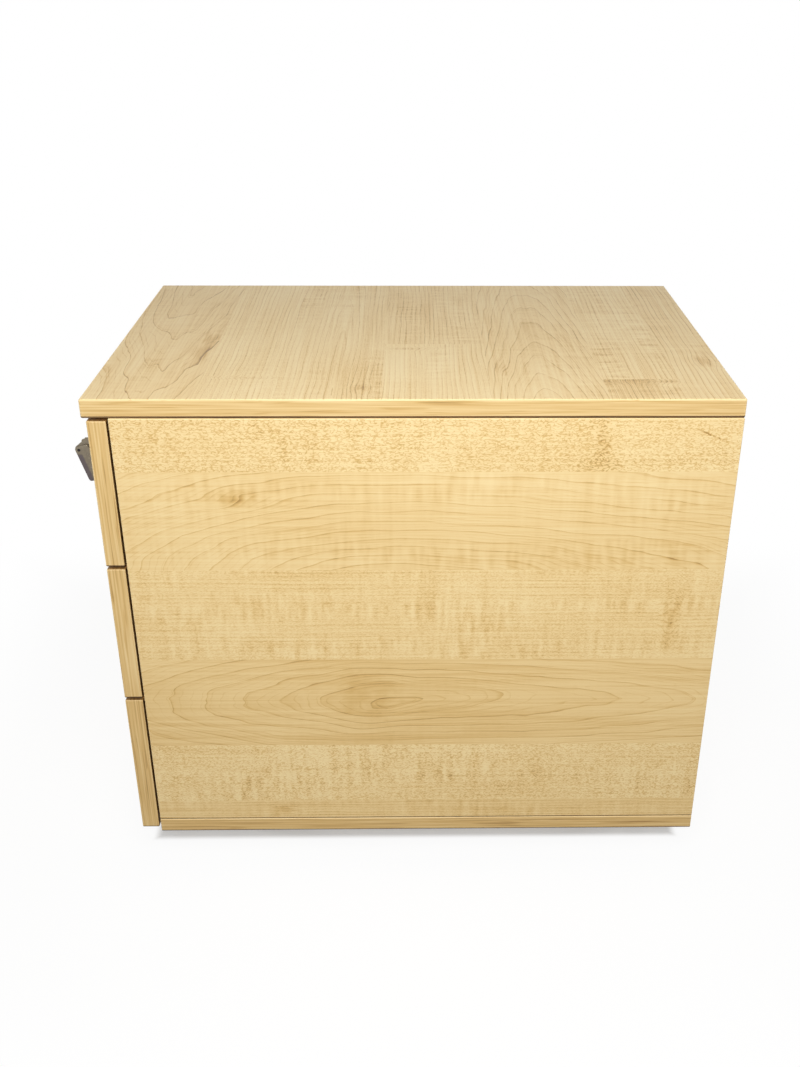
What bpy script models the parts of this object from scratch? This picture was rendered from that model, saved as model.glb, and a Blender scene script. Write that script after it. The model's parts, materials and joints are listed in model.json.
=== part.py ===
"""Mobile pedestal: a case of faced boards with drawers on roller runners, a central lock and swivel castors.

The origin is on the floor, under the middle of the whole object. +Z is up, the drawers open towards -Y,
and +X is to the right of someone who stands in front of the drawers.
"""
import math

import bmesh
import bpy
from mathutils import Matrix, Vector

MM = 0.001

# Case boards
TOP_WIDTH = 400 * MM
TOP_DEPTH = 600 * MM
BOARD = 18 * MM             # top, sides and back
BASE_BOARD = 16 * MM
ARRIS = 1.0 * MM            # rounding along the edges of a board
TOP_ARRIS = 2.0 * MM        # fuller rounding of the top's edge band
FIT = 0.3 * MM              # gap left between pieces that touch

# Drawer fronts
FRONT_BOARD = 18 * MM
UPPER_FRONT_HEIGHT = 148 * MM
LOWER_FRONT_HEIGHT = 165 * MM
FRONT_GAP = 3 * MM          # above each front
FRONT_LIFT = 5 * MM         # lowest front above the underside of the base
FRONT_REVEAL = 1 * MM       # each front stops this short of the sides' outer faces
TOP_OVERHANG = 4 * MM       # top in front of the drawer fronts
BUFFER_GAP = 2 * MM         # between the fronts and the edges of the case

# Drawer boxes
SHEET = 1.2 * MM            # steel of the walls and runners
DRAWER_REAR_GAP = 60 * MM   # behind a closed drawer
WALL_LIFT = 4 * MM          # drawer wall above the underside of its runner
WALL_FLANGE = 16 * MM       # folded in under the drawer's bottom
WALL_HEM = 4 * MM           # folded in along the wall's top
WALL_TAB = 22 * MM          # folded in behind the drawer front
TAB_MARGIN = 2.4 * MM       # tab short of the wall's folds
OPEN_OVERLAP = 115 * MM     # length of an open drawer box that stays in the case

# Roller runners
RUNNER_SPACE = 12.5 * MM    # between a drawer wall and the side of the case
RUNNER_RISE = 5 * MM        # runner above the lower edge of its drawer front
RUNNER_BASE_GAP = 5 * MM    # lowest runner above the base
RUNNER_BAR_GAP = 3 * MM     # runner behind the locking bar
RUNNER_TAIL = 16 * MM       # runner behind the axis of a closed drawer's roller
TRACK_WIDTH = 4.8 * MM      # flange of the drawer wall that lies on the front roller
ROLLER_DIAMETER = 17 * MM
ROLLER_PIN_DIAMETER = 5 * MM
ROLLER_SIDE_GAP = 0.6 * MM
LIP_GAP = 0.5 * MM          # under the runner's upper lip
FRONT_ROLLER_INSET = 11 * MM
REAR_ROLLER_INSET = 11 * MM
STOP_HEIGHT = 3 * MM        # raised stop that the drawer's roller meets
STOP_LENGTH = 4 * MM

# Handles
HANDLE_CENTRES = 128 * MM
HANDLE_PROJECTION = 28 * MM
HANDLE_BAR = 10 * MM
HANDLE_BEND = 13 * MM       # radius of the bends, to the middle of the bar
HANDLE_STUD = 4 * MM

# Lock and key
LOCK_INSET = 40 * MM        # lock axis from the end of the drawer front
LOCK_DROP = 38 * MM         # lock axis below the upper edge of the drawer front
HOUSING_DIAMETER = 18 * MM
HOUSING_RIM = 2 * MM        # rosette beyond the housing
ROSETTE = 1.5 * MM          # rosette thickness
HOUSING_TAIL = 4 * MM       # housing behind the drawer front
BARREL_DIAMETER = 12 * MM
BARREL_PROUD = 1 * MM
CRANK_THROW = 8 * MM        # crank pin from the lock axis, and the locking bar's travel
CRANK_PLATE = 3 * MM
CRANK_RIM = 1.5 * MM        # crank plate around its pin
CRANK_PIN_DIAMETER = 4 * MM
CRANK_PIN_TIP = 1 * MM      # crank pin beyond the bar's arm
LOCK_CLEARANCE = 5 * MM     # drawer walls below the turning crank
KEY_WIDTH = 7 * MM
KEY_THICKNESS = 1.6 * MM
KEY_DEPTH = 17 * MM         # key inside the barrel
SHANK_THICKNESS = 2.4 * MM
SHANK_ABOVE = 6.5 * MM      # shank above the lock axis
SHANK_BELOW = 2.5 * MM
SHANK_STEP = 3 * MM         # notch in the shank's upper corner, and the slope below it
KEY_PIN_REACH = 21.2 * MM   # key pin in front of the drawer front
KEY_PIN_DROP = 5 * MM       # key pin below the lock axis
KEY_PIN_DIAMETER = 3 * MM
KNUCKLE_RADIUS = 3.6 * MM
KNUCKLE_GAP = 1.2 * MM      # bow's slot beyond the knuckle
BOW_THICKNESS = 6 * MM
BOW_LENGTH = 33 * MM
BOW_OUTER = 3.4 * MM        # bow's outer edge from the key pin
BOW_INNER = 11 * MM         # bow's inner edge from the key pin
BOW_SHOULDER = 8.5 * MM     # where the inner edge starts, below the key pin
BOW_CORNER = 4 * MM
BOW_LEAN = 17               # degrees that the hanging bow leans towards the drawer front

# Locking bar
BAR_WIDTH = 8 * MM
BAR_THICKNESS = 3 * MM
BAR_SIDE_GAP = 0.6 * MM     # between the bar and the side of the case
ARM_THICKNESS = 1.5 * MM
ARM_GAP = 0.7 * MM          # between the crank plate and the arm
ARM_RIM = 4 * MM            # arm around its slot
BAR_HEAD = 4 * MM           # bar above its arm
SLOT_PLAY = 0.5 * MM
SLOT_RISE = 0.22            # share of the throw by which a crank runs ahead of a straight slide
BAR_FOOT = 12 * MM          # bar's lower end above the lowest runner's underside
LUG_REACH = 2.6 * MM
LUG_HEIGHT = 8 * MM
LUG_RISE = 32 * MM          # lugs above the underside of each runner
CATCH_GAP = 0.5 * MM        # between a drawer's catch and the lowered bar
CATCH_HEIGHT = 7 * MM
GUIDE_RISE = 60 * MM        # guide above the underside of the middle runner
GUIDE_HEIGHT = 12 * MM
GUIDE_WALL = 2 * MM

# Castors
WHEEL_DIAMETER = 35 * MM
WHEEL_WIDTH = 14 * MM
WHEEL_ROUND = 2.5 * MM      # rounding of the tread's edges
WHEEL_DISH = 2 * MM         # depth of the hollow in each face of the wheel
WHEEL_RIM = 5 * MM          # tread's depth around the hollow
HUB_RADIUS = 5.5 * MM
WHEEL_SIDE_GAP = 0.8 * MM   # between the hub and the fork
CASTOR_TRAIL = 16 * MM      # axle behind the swivel axis
CROWN_CLEARANCE = 4.3 * MM  # between the wheel and the fork's crown
CROWN_DIAMETER = 30 * MM
FORK_SHEET = 2.4 * MM
LEG_FOOT_RADIUS = 6 * MM
LEG_FOOT_RISE = 20          # degrees by which the leg's round foot goes up past its half circle
RACE_DIAMETER = 26 * MM
RACE_HEIGHT = 2.7 * MM
KINGPIN_DIAMETER = 6 * MM
KINGPIN_HEAD = 10 * MM
KINGPIN_HEAD_HEIGHT = 1.5 * MM
PLATE_SIZE = 44 * MM
PLATE_THICKNESS = 2 * MM
PLATE_HOLE_MARGIN = 6 * MM  # screw holes from the edges of the plate
PLATE_HOLE_DIAMETER = 4.6 * MM
AXLE_DIAMETER = 5 * MM
AXLE_HEAD = 8 * MM
AXLE_HEAD_HEIGHT = 1.2 * MM
CASTOR_INSET_SIDE = 70 * MM
CASTOR_INSET_END = 60 * MM

# Facets on round pieces
FINE = 24
MEDIUM = 12
COARSE = 8
HALF_TURN_STEPS = 8
CORNER_STEPS = 4
HANDLE_BEND_STEPS = 5
CRANK_STEPS = 12
TREAD_STEPS = 2
SHARP_ANGLE = 35            # degrees past which an edge stays sharp
MERGE_DISTANCE = 0.001 * MM
PIVOT_SIZE = 20 * MM        # drawn size of the empties on the joint axes

LEVELS = ("upper", "middle", "lower")
SIDES = {"right": 1, "left": -1}
LOCK_SIDE = SIDES["right"]
CASTORS = {
    "front_right": (1, -1),
    "front_left": (-1, -1),
    "rear_right": (1, 1),
    "rear_left": (-1, 1),
}

# Heights, from the floor up
WHEEL_RADIUS = WHEEL_DIAMETER / 2
CROWN_BOTTOM = WHEEL_DIAMETER + CROWN_CLEARANCE
CROWN_TOP = CROWN_BOTTOM + FORK_SHEET
RACE_BOTTOM = CROWN_TOP + FIT
PLATE_BOTTOM = RACE_BOTTOM + RACE_HEIGHT
PLATE_TOP = PLATE_BOTTOM + PLATE_THICKNESS
BASE_BOTTOM = PLATE_TOP + FIT
BASE_TOP = BASE_BOTTOM + BASE_BOARD
FRONT_HEIGHT = {"upper": UPPER_FRONT_HEIGHT, "middle": UPPER_FRONT_HEIGHT, "lower": LOWER_FRONT_HEIGHT}
FRONT_BOTTOM = {"lower": BASE_BOTTOM + FRONT_LIFT}
FRONT_BOTTOM["middle"] = FRONT_BOTTOM["lower"] + LOWER_FRONT_HEIGHT + FRONT_GAP
FRONT_BOTTOM["upper"] = FRONT_BOTTOM["middle"] + UPPER_FRONT_HEIGHT + FRONT_GAP
TOP_UNDERSIDE = FRONT_BOTTOM["upper"] + UPPER_FRONT_HEIGHT + FRONT_GAP
TOP_SURFACE = TOP_UNDERSIDE + BOARD
RUNNER_BOTTOM = {level: FRONT_BOTTOM[level] + RUNNER_RISE for level in ("upper", "middle")}
RUNNER_BOTTOM["lower"] = max(FRONT_BOTTOM["lower"] + RUNNER_RISE, BASE_TOP + RUNNER_BASE_GAP)

# Heights above the underside of a runner
ROLLER_RADIUS = ROLLER_DIAMETER / 2
ROLLER_AXIS = SHEET + FIT + ROLLER_RADIUS
LIP_BOTTOM = ROLLER_AXIS + ROLLER_RADIUS + LIP_GAP
RUNNER_HEIGHT = LIP_BOTTOM + SHEET
TRACK_BOTTOM = ROLLER_AXIS + ROLLER_RADIUS + FIT

# Depths, from the front to the back
HANDLE_REACH = HANDLE_PROJECTION + FIT
WHOLE_DEPTH = TOP_DEPTH + HANDLE_REACH - TOP_OVERHANG
CASE_BACK = WHOLE_DEPTH / 2
TOP_FRONT = CASE_BACK - TOP_DEPTH
FRONT_FACE = TOP_FRONT + TOP_OVERHANG
FRONT_REAR = FRONT_FACE + FRONT_BOARD
CASE_FRONT = FRONT_REAR + BUFFER_GAP
BACK_INNER = CASE_BACK - BOARD
WALL_FRONT = FRONT_REAR + FIT
WALL_REAR = BACK_INNER - DRAWER_REAR_GAP
REAR_ROLLER_Y = WALL_REAR - REAR_ROLLER_INSET
RUNNER_REAR = REAR_ROLLER_Y + RUNNER_TAIL
DRAWER_TRAVEL = WALL_REAR - WALL_FRONT - OPEN_OVERLAP
HOUSING_REAR = FRONT_REAR + HOUSING_TAIL
CRANK_FRONT = HOUSING_REAR + FIT
CRANK_REAR = CRANK_FRONT + CRANK_PLATE
ARM_FRONT = CRANK_REAR + ARM_GAP
ARM_REAR = ARM_FRONT + ARM_THICKNESS
BAR_FRONT = (ARM_FRONT + ARM_REAR - BAR_WIDTH) / 2
BAR_REAR = BAR_FRONT + BAR_WIDTH
RUNNER_FRONT = BAR_REAR + GUIDE_WALL + RUNNER_BAR_GAP
FRONT_ROLLER_Y = RUNNER_FRONT + FRONT_ROLLER_INSET

# Widths, from the middle out
CASE_HALF = TOP_WIDTH / 2
SIDE_INNER = CASE_HALF - BOARD
FRONT_HALF = CASE_HALF - FRONT_REVEAL
WALL_OUTER = SIDE_INNER - RUNNER_SPACE
WALL_INNER = WALL_OUTER - SHEET
TRACK_EDGE = WALL_OUTER + TRACK_WIDTH
WEB_OUTER = SIDE_INNER - FIT
WEB_INNER = WEB_OUTER - SHEET
REAR_ROLLER_INNER = TRACK_EDGE + ROLLER_SIDE_GAP
REAR_ROLLER_OUTER = WEB_INNER - ROLLER_SIDE_GAP
BAR_OUTER = SIDE_INNER - BAR_SIDE_GAP
BAR_INNER = BAR_OUTER - BAR_THICKNESS

# Lock axis
LOCK_X = FRONT_HALF - LOCK_INSET
LOCK_Z = FRONT_BOTTOM["upper"] + UPPER_FRONT_HEIGHT - LOCK_DROP
CRANK_PIN_RADIUS = CRANK_PIN_DIAMETER / 2
CRANK_REACH = CRANK_THROW + CRANK_PIN_RADIUS + CRANK_RIM
WALL_TOP = LOCK_Z - CRANK_REACH - LOCK_CLEARANCE - RUNNER_BOTTOM["upper"]


def make_material(name, colour, roughness, metallic):
    """A plain Principled finish."""
    material = bpy.data.materials.new(name)
    material.use_nodes = True
    shader = material.node_tree.nodes["Principled BSDF"]
    shader.inputs["Base Color"].default_value = (*colour, 1.0)
    shader.inputs["Roughness"].default_value = roughness
    shader.inputs["Metallic"].default_value = metallic
    return material


def world_place(item):
    """World position of an object whose parents are moved but not turned."""
    place = item.location.copy()
    while item.parent:
        item = item.parent
        place += item.location
    return place


def pivot(name, place, parent=None):
    """An empty on a joint's axis, which carries the pieces that move about it."""
    empty = bpy.data.objects.new(name, None)
    bpy.context.collection.objects.link(empty)
    empty.empty_display_size = PIVOT_SIZE
    empty.parent = parent
    empty.location = Vector(place) - (world_place(parent) if parent else Vector())
    return empty


def mesh_from(name, bm, origin):
    """Turn a bmesh in world coordinates into a mesh around origin, shaded smooth up to its sharp edges."""
    bmesh.ops.recalc_face_normals(bm, faces=bm.faces)
    bmesh.ops.translate(bm, verts=bm.verts, vec=-origin)
    mesh = bpy.data.meshes.new(name)
    bm.to_mesh(mesh)
    bm.free()
    mesh.shade_smooth()
    mesh.set_sharp_from_angle(angle=math.radians(SHARP_ANGLE))
    return mesh


def make_piece(name, bm, material, parent=None, origin=None):
    """One sub-part from a bmesh in world coordinates. Its origin is its parent's, unless one is given."""
    if origin is None:
        origin = world_place(parent) if parent else Vector()
    piece = bpy.data.objects.new(name, mesh_from(name, bm, origin))
    bpy.context.collection.objects.link(piece)
    piece.data.materials.append(material)
    piece.parent = parent
    piece.location = origin - (world_place(parent) if parent else Vector())
    return piece


def combine(piece, operation, bm):
    """Cut a shape out of a piece, or join it on, with a Boolean whose tool stays hidden."""
    label = f"{piece.name}_{operation.lower()}"
    tool = bpy.data.objects.new(label, mesh_from(label, bm, world_place(piece)))
    bpy.context.collection.objects.link(tool)
    tool.parent = piece
    tool.hide_render = True
    tool.display_type = "WIRE"
    modifier = piece.modifiers.new(label, "BOOLEAN")
    modifier.operation = operation
    modifier.solver = "EXACT"
    modifier.object = tool


def add_box(bm, low, high, rounding=0.0):
    """A box between two corners, with rounded edges where a rounding is given."""
    low, high = Vector(low), Vector(high)
    size = high - low
    matrix = Matrix.Translation((low + high) / 2) @ Matrix.Diagonal((*size, 1.0))
    verts = bmesh.ops.create_cube(bm, size=1.0, matrix=matrix)["verts"]
    if rounding:
        edges = list({edge for vert in verts for edge in vert.link_edges})
        bmesh.ops.bevel(bm, geom=edges, offset=rounding, segments=2, profile=0.5, affect="EDGES")


def add_cylinder(bm, start, end, radius, segments, end_radius=None):
    """A cylinder, or a cone where its end has another radius, between two points."""
    start, end = Vector(start), Vector(end)
    along = end - start
    turn = along.to_track_quat("Z", "Y").to_matrix().to_4x4()
    bmesh.ops.create_cone(
        bm,
        cap_ends=True,
        segments=segments,
        radius1=radius,
        radius2=radius if end_radius is None else end_radius,
        depth=along.length,
        matrix=Matrix.Translation((start + end) / 2) @ turn,
    )


def add_turned(bm, base, axis, profile, segments, closed=False):
    """Spin a profile of (radius, distance along the axis) points about an axis through base."""
    base, axis = Vector(base), Vector(axis)
    outward = Vector((1, 0, 0)) if axis.z else Vector((0, 0, 1))
    verts = [bm.verts.new(base + outward * radius + axis * height) for radius, height in profile]
    pairs = list(zip(verts, verts[1:]))
    if closed:
        pairs.append((verts[-1], verts[0]))
    edges = [bm.edges.new(pair) for pair in pairs]
    bmesh.ops.spin(bm, geom=verts + edges, cent=base, axis=axis, angle=math.tau, steps=segments)
    bmesh.ops.remove_doubles(bm, verts=bm.verts, dist=MERGE_DISTANCE)


def add_prism(bm, outline, depth):
    """Extrude a flat outline of world points by a vector."""
    face = bm.faces.new([bm.verts.new(point) for point in outline])
    grown = bmesh.ops.extrude_face_region(bm, geom=[face])["geom"]
    moved = [item for item in grown if isinstance(item, bmesh.types.BMVert)]
    bmesh.ops.translate(bm, verts=moved, vec=depth)


def arc(centre, radius, start, end, steps):
    """Points on a circle from one angle to another, in degrees, both ends included."""
    angles = [math.radians(start + (end - start) * step / steps) for step in range(steps + 1)]
    return [(centre[0] + radius * math.cos(a), centre[1] + radius * math.sin(a)) for a in angles]


def make_board(name, low, high, material, rounding=ARRIS, parent=None):
    """A faced board with rounded edges, with its origin in its middle unless it rides on a parent."""
    bm = bmesh.new()
    add_box(bm, low, high, rounding)
    origin = None if parent else (Vector(low) + Vector(high)) / 2
    return make_piece(name, bm, material, parent, origin)


def castor_place(name):
    """Swivel axis of a castor on the floor plan."""
    side, end = CASTORS[name]
    x = side * (CASE_HALF - CASTOR_INSET_SIDE)
    y = CASE_FRONT + CASTOR_INSET_END if end < 0 else CASE_BACK - CASTOR_INSET_END
    return x, y


def make_case(board):
    """Top, base, sides and back of the case."""
    make_board(
        "top_panel",
        (-CASE_HALF, TOP_FRONT, TOP_UNDERSIDE),
        (CASE_HALF, CASE_BACK, TOP_SURFACE),
        board,
        TOP_ARRIS,
    )
    make_board(
        "base_panel",
        (-CASE_HALF, CASE_FRONT, BASE_BOTTOM),
        (CASE_HALF, CASE_BACK, BASE_TOP),
        board,
    )
    make_board(
        "back_panel",
        (-SIDE_INNER + FIT, BACK_INNER, BASE_TOP + FIT),
        (SIDE_INNER - FIT, CASE_BACK, TOP_UNDERSIDE - FIT),
        board,
    )
    for side, sign in SIDES.items():
        inner, outer = sorted((sign * SIDE_INNER, sign * CASE_HALF))
        make_board(
            f"side_panel_{side}",
            (inner, CASE_FRONT, BASE_TOP + FIT),
            (outer, CASE_BACK, TOP_UNDERSIDE - FIT),
            board,
        )


def make_runner(level, side, sign, steel):
    """A channel on the side of the case, with the front roller's pin and the stop for the drawer's roller."""
    z = RUNNER_BOTTOM[level]
    section = [
        (WALL_OUTER + ROLLER_SIDE_GAP, 0),
        (WEB_OUTER, 0),
        (WEB_OUTER, RUNNER_HEIGHT),
        (REAR_ROLLER_INNER, RUNNER_HEIGHT),
        (REAR_ROLLER_INNER, LIP_BOTTOM),
        (WEB_INNER, LIP_BOTTOM),
        (WEB_INNER, SHEET),
        (WALL_OUTER + ROLLER_SIDE_GAP, SHEET),
    ]
    bm = bmesh.new()
    outline = [Vector((sign * x, RUNNER_FRONT, z + height)) for x, height in section]
    add_prism(bm, outline, Vector((0, RUNNER_REAR - RUNNER_FRONT, 0)))
    origin = Vector((sign * WEB_OUTER, RUNNER_FRONT, z))
    runner = make_piece(f"runner_{side}_{level}", bm, steel, None, origin)

    added = bmesh.new()
    start = (sign * (WEB_INNER + SHEET / 2), FRONT_ROLLER_Y, z + ROLLER_AXIS)
    end = (sign * (WALL_OUTER + ROLLER_SIDE_GAP), FRONT_ROLLER_Y, z + ROLLER_AXIS)
    add_cylinder(added, start, end, ROLLER_PIN_DIAMETER / 2, MEDIUM)
    rise = ROLLER_RADIUS + FIT - STOP_HEIGHT
    reach = math.sqrt(ROLLER_RADIUS**2 - rise**2)
    stop_rear = REAR_ROLLER_Y - DRAWER_TRAVEL - reach - FIT
    low, high = sorted((sign * REAR_ROLLER_INNER, sign * REAR_ROLLER_OUTER))
    add_box(
        added,
        (low, stop_rear - STOP_LENGTH, z + SHEET / 2),
        (high, stop_rear, z + SHEET + STOP_HEIGHT),
    )
    combine(runner, "UNION", added)


def make_rollers(kind, level, y, inner, outer, nylon, parent=None):
    """A roller on each side of a drawer, both turning about one line across the case."""
    z = RUNNER_BOTTOM[level] + ROLLER_AXIS
    axis = pivot(f"{kind}_axis_{level}", (0, y, z), parent)
    bore = ROLLER_PIN_DIAMETER / 2 + FIT
    profile = [(bore, inner), (ROLLER_RADIUS, inner), (ROLLER_RADIUS, outer), (bore, outer)]
    for side, sign in SIDES.items():
        bm = bmesh.new()
        add_turned(bm, (0, y, z), (sign, 0, 0), profile, MEDIUM, closed=True)
        make_piece(f"{kind}_{side}_{level}", bm, nylon, axis)


def make_drawer_wall(level, side, sign, steel, slide):
    """A folded steel drawer wall: bottom flange, track, hem, tab behind the front and rear roller pin.

    On the lock's side it also has the catch that a lug of the raised locking bar stands in front of.
    """
    z = RUNNER_BOTTOM[level]
    section = [
        (WALL_INNER - WALL_FLANGE, WALL_LIFT),
        (WALL_OUTER, WALL_LIFT),
        (WALL_OUTER, TRACK_BOTTOM),
        (TRACK_EDGE, TRACK_BOTTOM),
        (TRACK_EDGE, TRACK_BOTTOM + SHEET),
        (WALL_OUTER, TRACK_BOTTOM + SHEET),
        (WALL_OUTER, WALL_TOP),
        (WALL_INNER - WALL_HEM, WALL_TOP),
        (WALL_INNER - WALL_HEM, WALL_TOP - SHEET),
        (WALL_INNER, WALL_TOP - SHEET),
        (WALL_INNER, WALL_LIFT + SHEET),
        (WALL_INNER - WALL_FLANGE, WALL_LIFT + SHEET),
    ]
    bm = bmesh.new()
    outline = [Vector((sign * x, WALL_FRONT, z + height)) for x, height in section]
    add_prism(bm, outline, Vector((0, WALL_REAR - WALL_FRONT, 0)))
    wall = make_piece(f"drawer_wall_{side}_{level}", bm, steel, slide)

    added = bmesh.new()
    start = (sign * (WALL_INNER + SHEET / 2), REAR_ROLLER_Y, z + ROLLER_AXIS)
    end = (sign * REAR_ROLLER_OUTER, REAR_ROLLER_Y, z + ROLLER_AXIS)
    add_cylinder(added, start, end, ROLLER_PIN_DIAMETER / 2, MEDIUM)
    low, high = sorted((sign * (WALL_INNER - WALL_TAB), sign * (WALL_INNER + SHEET / 2)))
    add_box(
        added,
        (low, WALL_FRONT, z + WALL_LIFT + TAB_MARGIN),
        (high, WALL_FRONT + SHEET, z + WALL_TOP - TAB_MARGIN),
    )
    if sign == LOCK_SIDE:
        catch_low = z + LUG_RISE + LUG_HEIGHT + CATCH_GAP
        add_box(
            added,
            (WALL_OUTER - SHEET / 2, ARM_REAR + FIT, catch_low),
            (BAR_INNER - CATCH_GAP, ARM_REAR + FIT + SHEET, catch_low + CATCH_HEIGHT),
        )
    combine(wall, "UNION", added)


def make_drawer(level, board, steel, metal):
    """A drawer front with its box and handle, on an empty that slides out along -Y."""
    slide = pivot(f"drawer_{level}_slide", (0, FRONT_FACE, FRONT_BOTTOM[level]))
    bottom = FRONT_BOTTOM[level]
    front = make_board(
        f"drawer_front_{level}",
        (-FRONT_HALF, FRONT_FACE, bottom),
        (FRONT_HALF, FRONT_REAR, bottom + FRONT_HEIGHT[level]),
        board,
        parent=slide,
    )
    grip_z = bottom + FRONT_HEIGHT[level] / 2
    holes = bmesh.new()
    for sign in SIDES.values():
        x = sign * HANDLE_CENTRES / 2
        start = (x, FRONT_FACE - FRONT_BOARD, grip_z)
        end = (x, FRONT_REAR + FRONT_BOARD, grip_z)
        add_cylinder(holes, start, end, HANDLE_STUD / 2 + FIT, COARSE)
    if level == "upper":
        start = (LOCK_X, FRONT_FACE - FRONT_BOARD, LOCK_Z)
        end = (LOCK_X, FRONT_REAR + FRONT_BOARD, LOCK_Z)
        add_cylinder(holes, start, end, HOUSING_DIAMETER / 2 + FIT, FINE)
    combine(front, "DIFFERENCE", holes)

    for side, sign in SIDES.items():
        make_drawer_wall(level, side, sign, steel, slide)
    make_tray(level, steel, slide)
    make_handle(level, grip_z, metal, slide)
    return slide


def make_tray(level, steel, slide):
    """The drawer's bottom and back, folded from one sheet, lying on the walls' flanges."""
    inside = WALL_INNER - FIT
    front = WALL_FRONT + SHEET + FIT
    floor = RUNNER_BOTTOM[level] + WALL_LIFT + SHEET + FIT
    rim = RUNNER_BOTTOM[level] + WALL_TOP - SHEET - FIT
    section = [
        (front, floor),
        (WALL_REAR, floor),
        (WALL_REAR, rim),
        (WALL_REAR - SHEET, rim),
        (WALL_REAR - SHEET, floor + SHEET),
        (front, floor + SHEET),
    ]
    bm = bmesh.new()
    outline = [Vector((-inside, y, z)) for y, z in section]
    add_prism(bm, outline, Vector((2 * inside, 0, 0)))
    make_piece(f"drawer_tray_{level}", bm, steel, slide)


def make_handle(level, z, metal, slide):
    """A bow handle: one round bar bent twice, with a stud into the drawer front at each foot."""
    half = HANDLE_CENTRES / 2
    bar = HANDLE_BAR / 2
    foot = FRONT_FACE - FIT
    crest = foot - HANDLE_PROJECTION + bar
    bend = (half - HANDLE_BEND, crest + HANDLE_BEND)
    stations = [(half, FRONT_REAR - FIT, 90, HANDLE_STUD / 2), (half, foot, 90, HANDLE_STUD / 2)]
    stations.append((half, foot, 90, bar))
    for step, (x, y) in enumerate(arc(bend, HANDLE_BEND, 0, -90, HANDLE_BEND_STEPS)):
        stations.append((x, y, 90 + 90 * step / HANDLE_BEND_STEPS, bar))
    stations += [(-x, y, 360 - heading, radius) for x, y, heading, radius in reversed(stations)]

    bm = bmesh.new()
    rings = []
    for x, y, heading, radius in stations:
        across = Vector((math.sin(math.radians(heading)), math.cos(math.radians(heading)), 0))
        ring = []
        for side in range(MEDIUM):
            angle = math.tau * side / MEDIUM
            offset = across * math.cos(angle) + Vector((0, 0, math.sin(angle)))
            ring.append(bm.verts.new(Vector((x, y, z)) + radius * offset))
        rings.append(ring)
    for ring, after in zip(rings, rings[1:]):
        for side in range(MEDIUM):
            following = (side + 1) % MEDIUM
            bm.faces.new((ring[side], ring[following], after[following], after[side]))
    bm.faces.new(rings[0])
    bm.faces.new(rings[-1])
    make_piece(f"handle_{level}", bm, metal, slide)


def make_lock(zinc, brass, drawer):
    """The lock's fixed housing, and its turning barrel with the crank that lifts the locking bar."""
    bore = BARREL_DIAMETER / 2 + FIT
    body = HOUSING_DIAMETER / 2
    rim = body + HOUSING_RIM
    rosette_rear = FRONT_FACE - FIT
    rosette_front = rosette_rear - ROSETTE
    centre = (LOCK_X, 0, LOCK_Z)
    bm = bmesh.new()
    profile = [
        (bore, rosette_front),
        (rim, rosette_front),
        (rim, rosette_rear),
        (body, rosette_rear),
        (body, HOUSING_REAR),
        (bore, HOUSING_REAR),
    ]
    add_turned(bm, centre, (0, 1, 0), profile, FINE, closed=True)
    make_piece("lock_housing", bm, zinc, drawer, Vector((LOCK_X, FRONT_FACE, LOCK_Z)))

    turn = pivot("lock_turn", (LOCK_X, FRONT_FACE, LOCK_Z), drawer)
    face = rosette_front - BARREL_PROUD
    radius = BARREL_DIAMETER / 2
    bm = bmesh.new()
    middle = (CRANK_FRONT + CRANK_REAR) / 2
    add_turned(bm, centre, (0, 1, 0), [(0, face), (radius, face), (radius, middle), (0, middle)], FINE)
    barrel = make_piece("lock_barrel", bm, brass, turn)

    link_end = CRANK_PIN_RADIUS + CRANK_RIM
    tangent = math.degrees(math.acos((radius - link_end) / CRANK_THROW))
    outline = arc((0, 0), radius, tangent, 360 - tangent, CRANK_STEPS)
    outline += arc((CRANK_THROW, 0), link_end, -tangent, tangent, HALF_TURN_STEPS)
    link = bmesh.new()
    points = [Vector((LOCK_X + x, CRANK_FRONT, LOCK_Z + z)) for x, z in outline]
    add_prism(link, points, Vector((0, CRANK_PLATE, 0)))
    combine(barrel, "UNION", link)
    pin = bmesh.new()
    start = (LOCK_X + CRANK_THROW, middle, LOCK_Z)
    end = (LOCK_X + CRANK_THROW, ARM_REAR + CRANK_PIN_TIP, LOCK_Z)
    add_cylinder(pin, start, end, CRANK_PIN_RADIUS, MEDIUM)
    combine(barrel, "UNION", pin)
    slot = bmesh.new()
    half_thickness = KEY_THICKNESS / 2 + FIT
    half_width = KEY_WIDTH / 2 + FIT
    add_box(
        slot,
        (LOCK_X - half_thickness, face - BARREL_PROUD, LOCK_Z - half_width),
        (LOCK_X + half_thickness, face + KEY_DEPTH + FIT, LOCK_Z + half_width),
    )
    combine(barrel, "DIFFERENCE", slot)
    make_key(face, turn, zinc)


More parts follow.
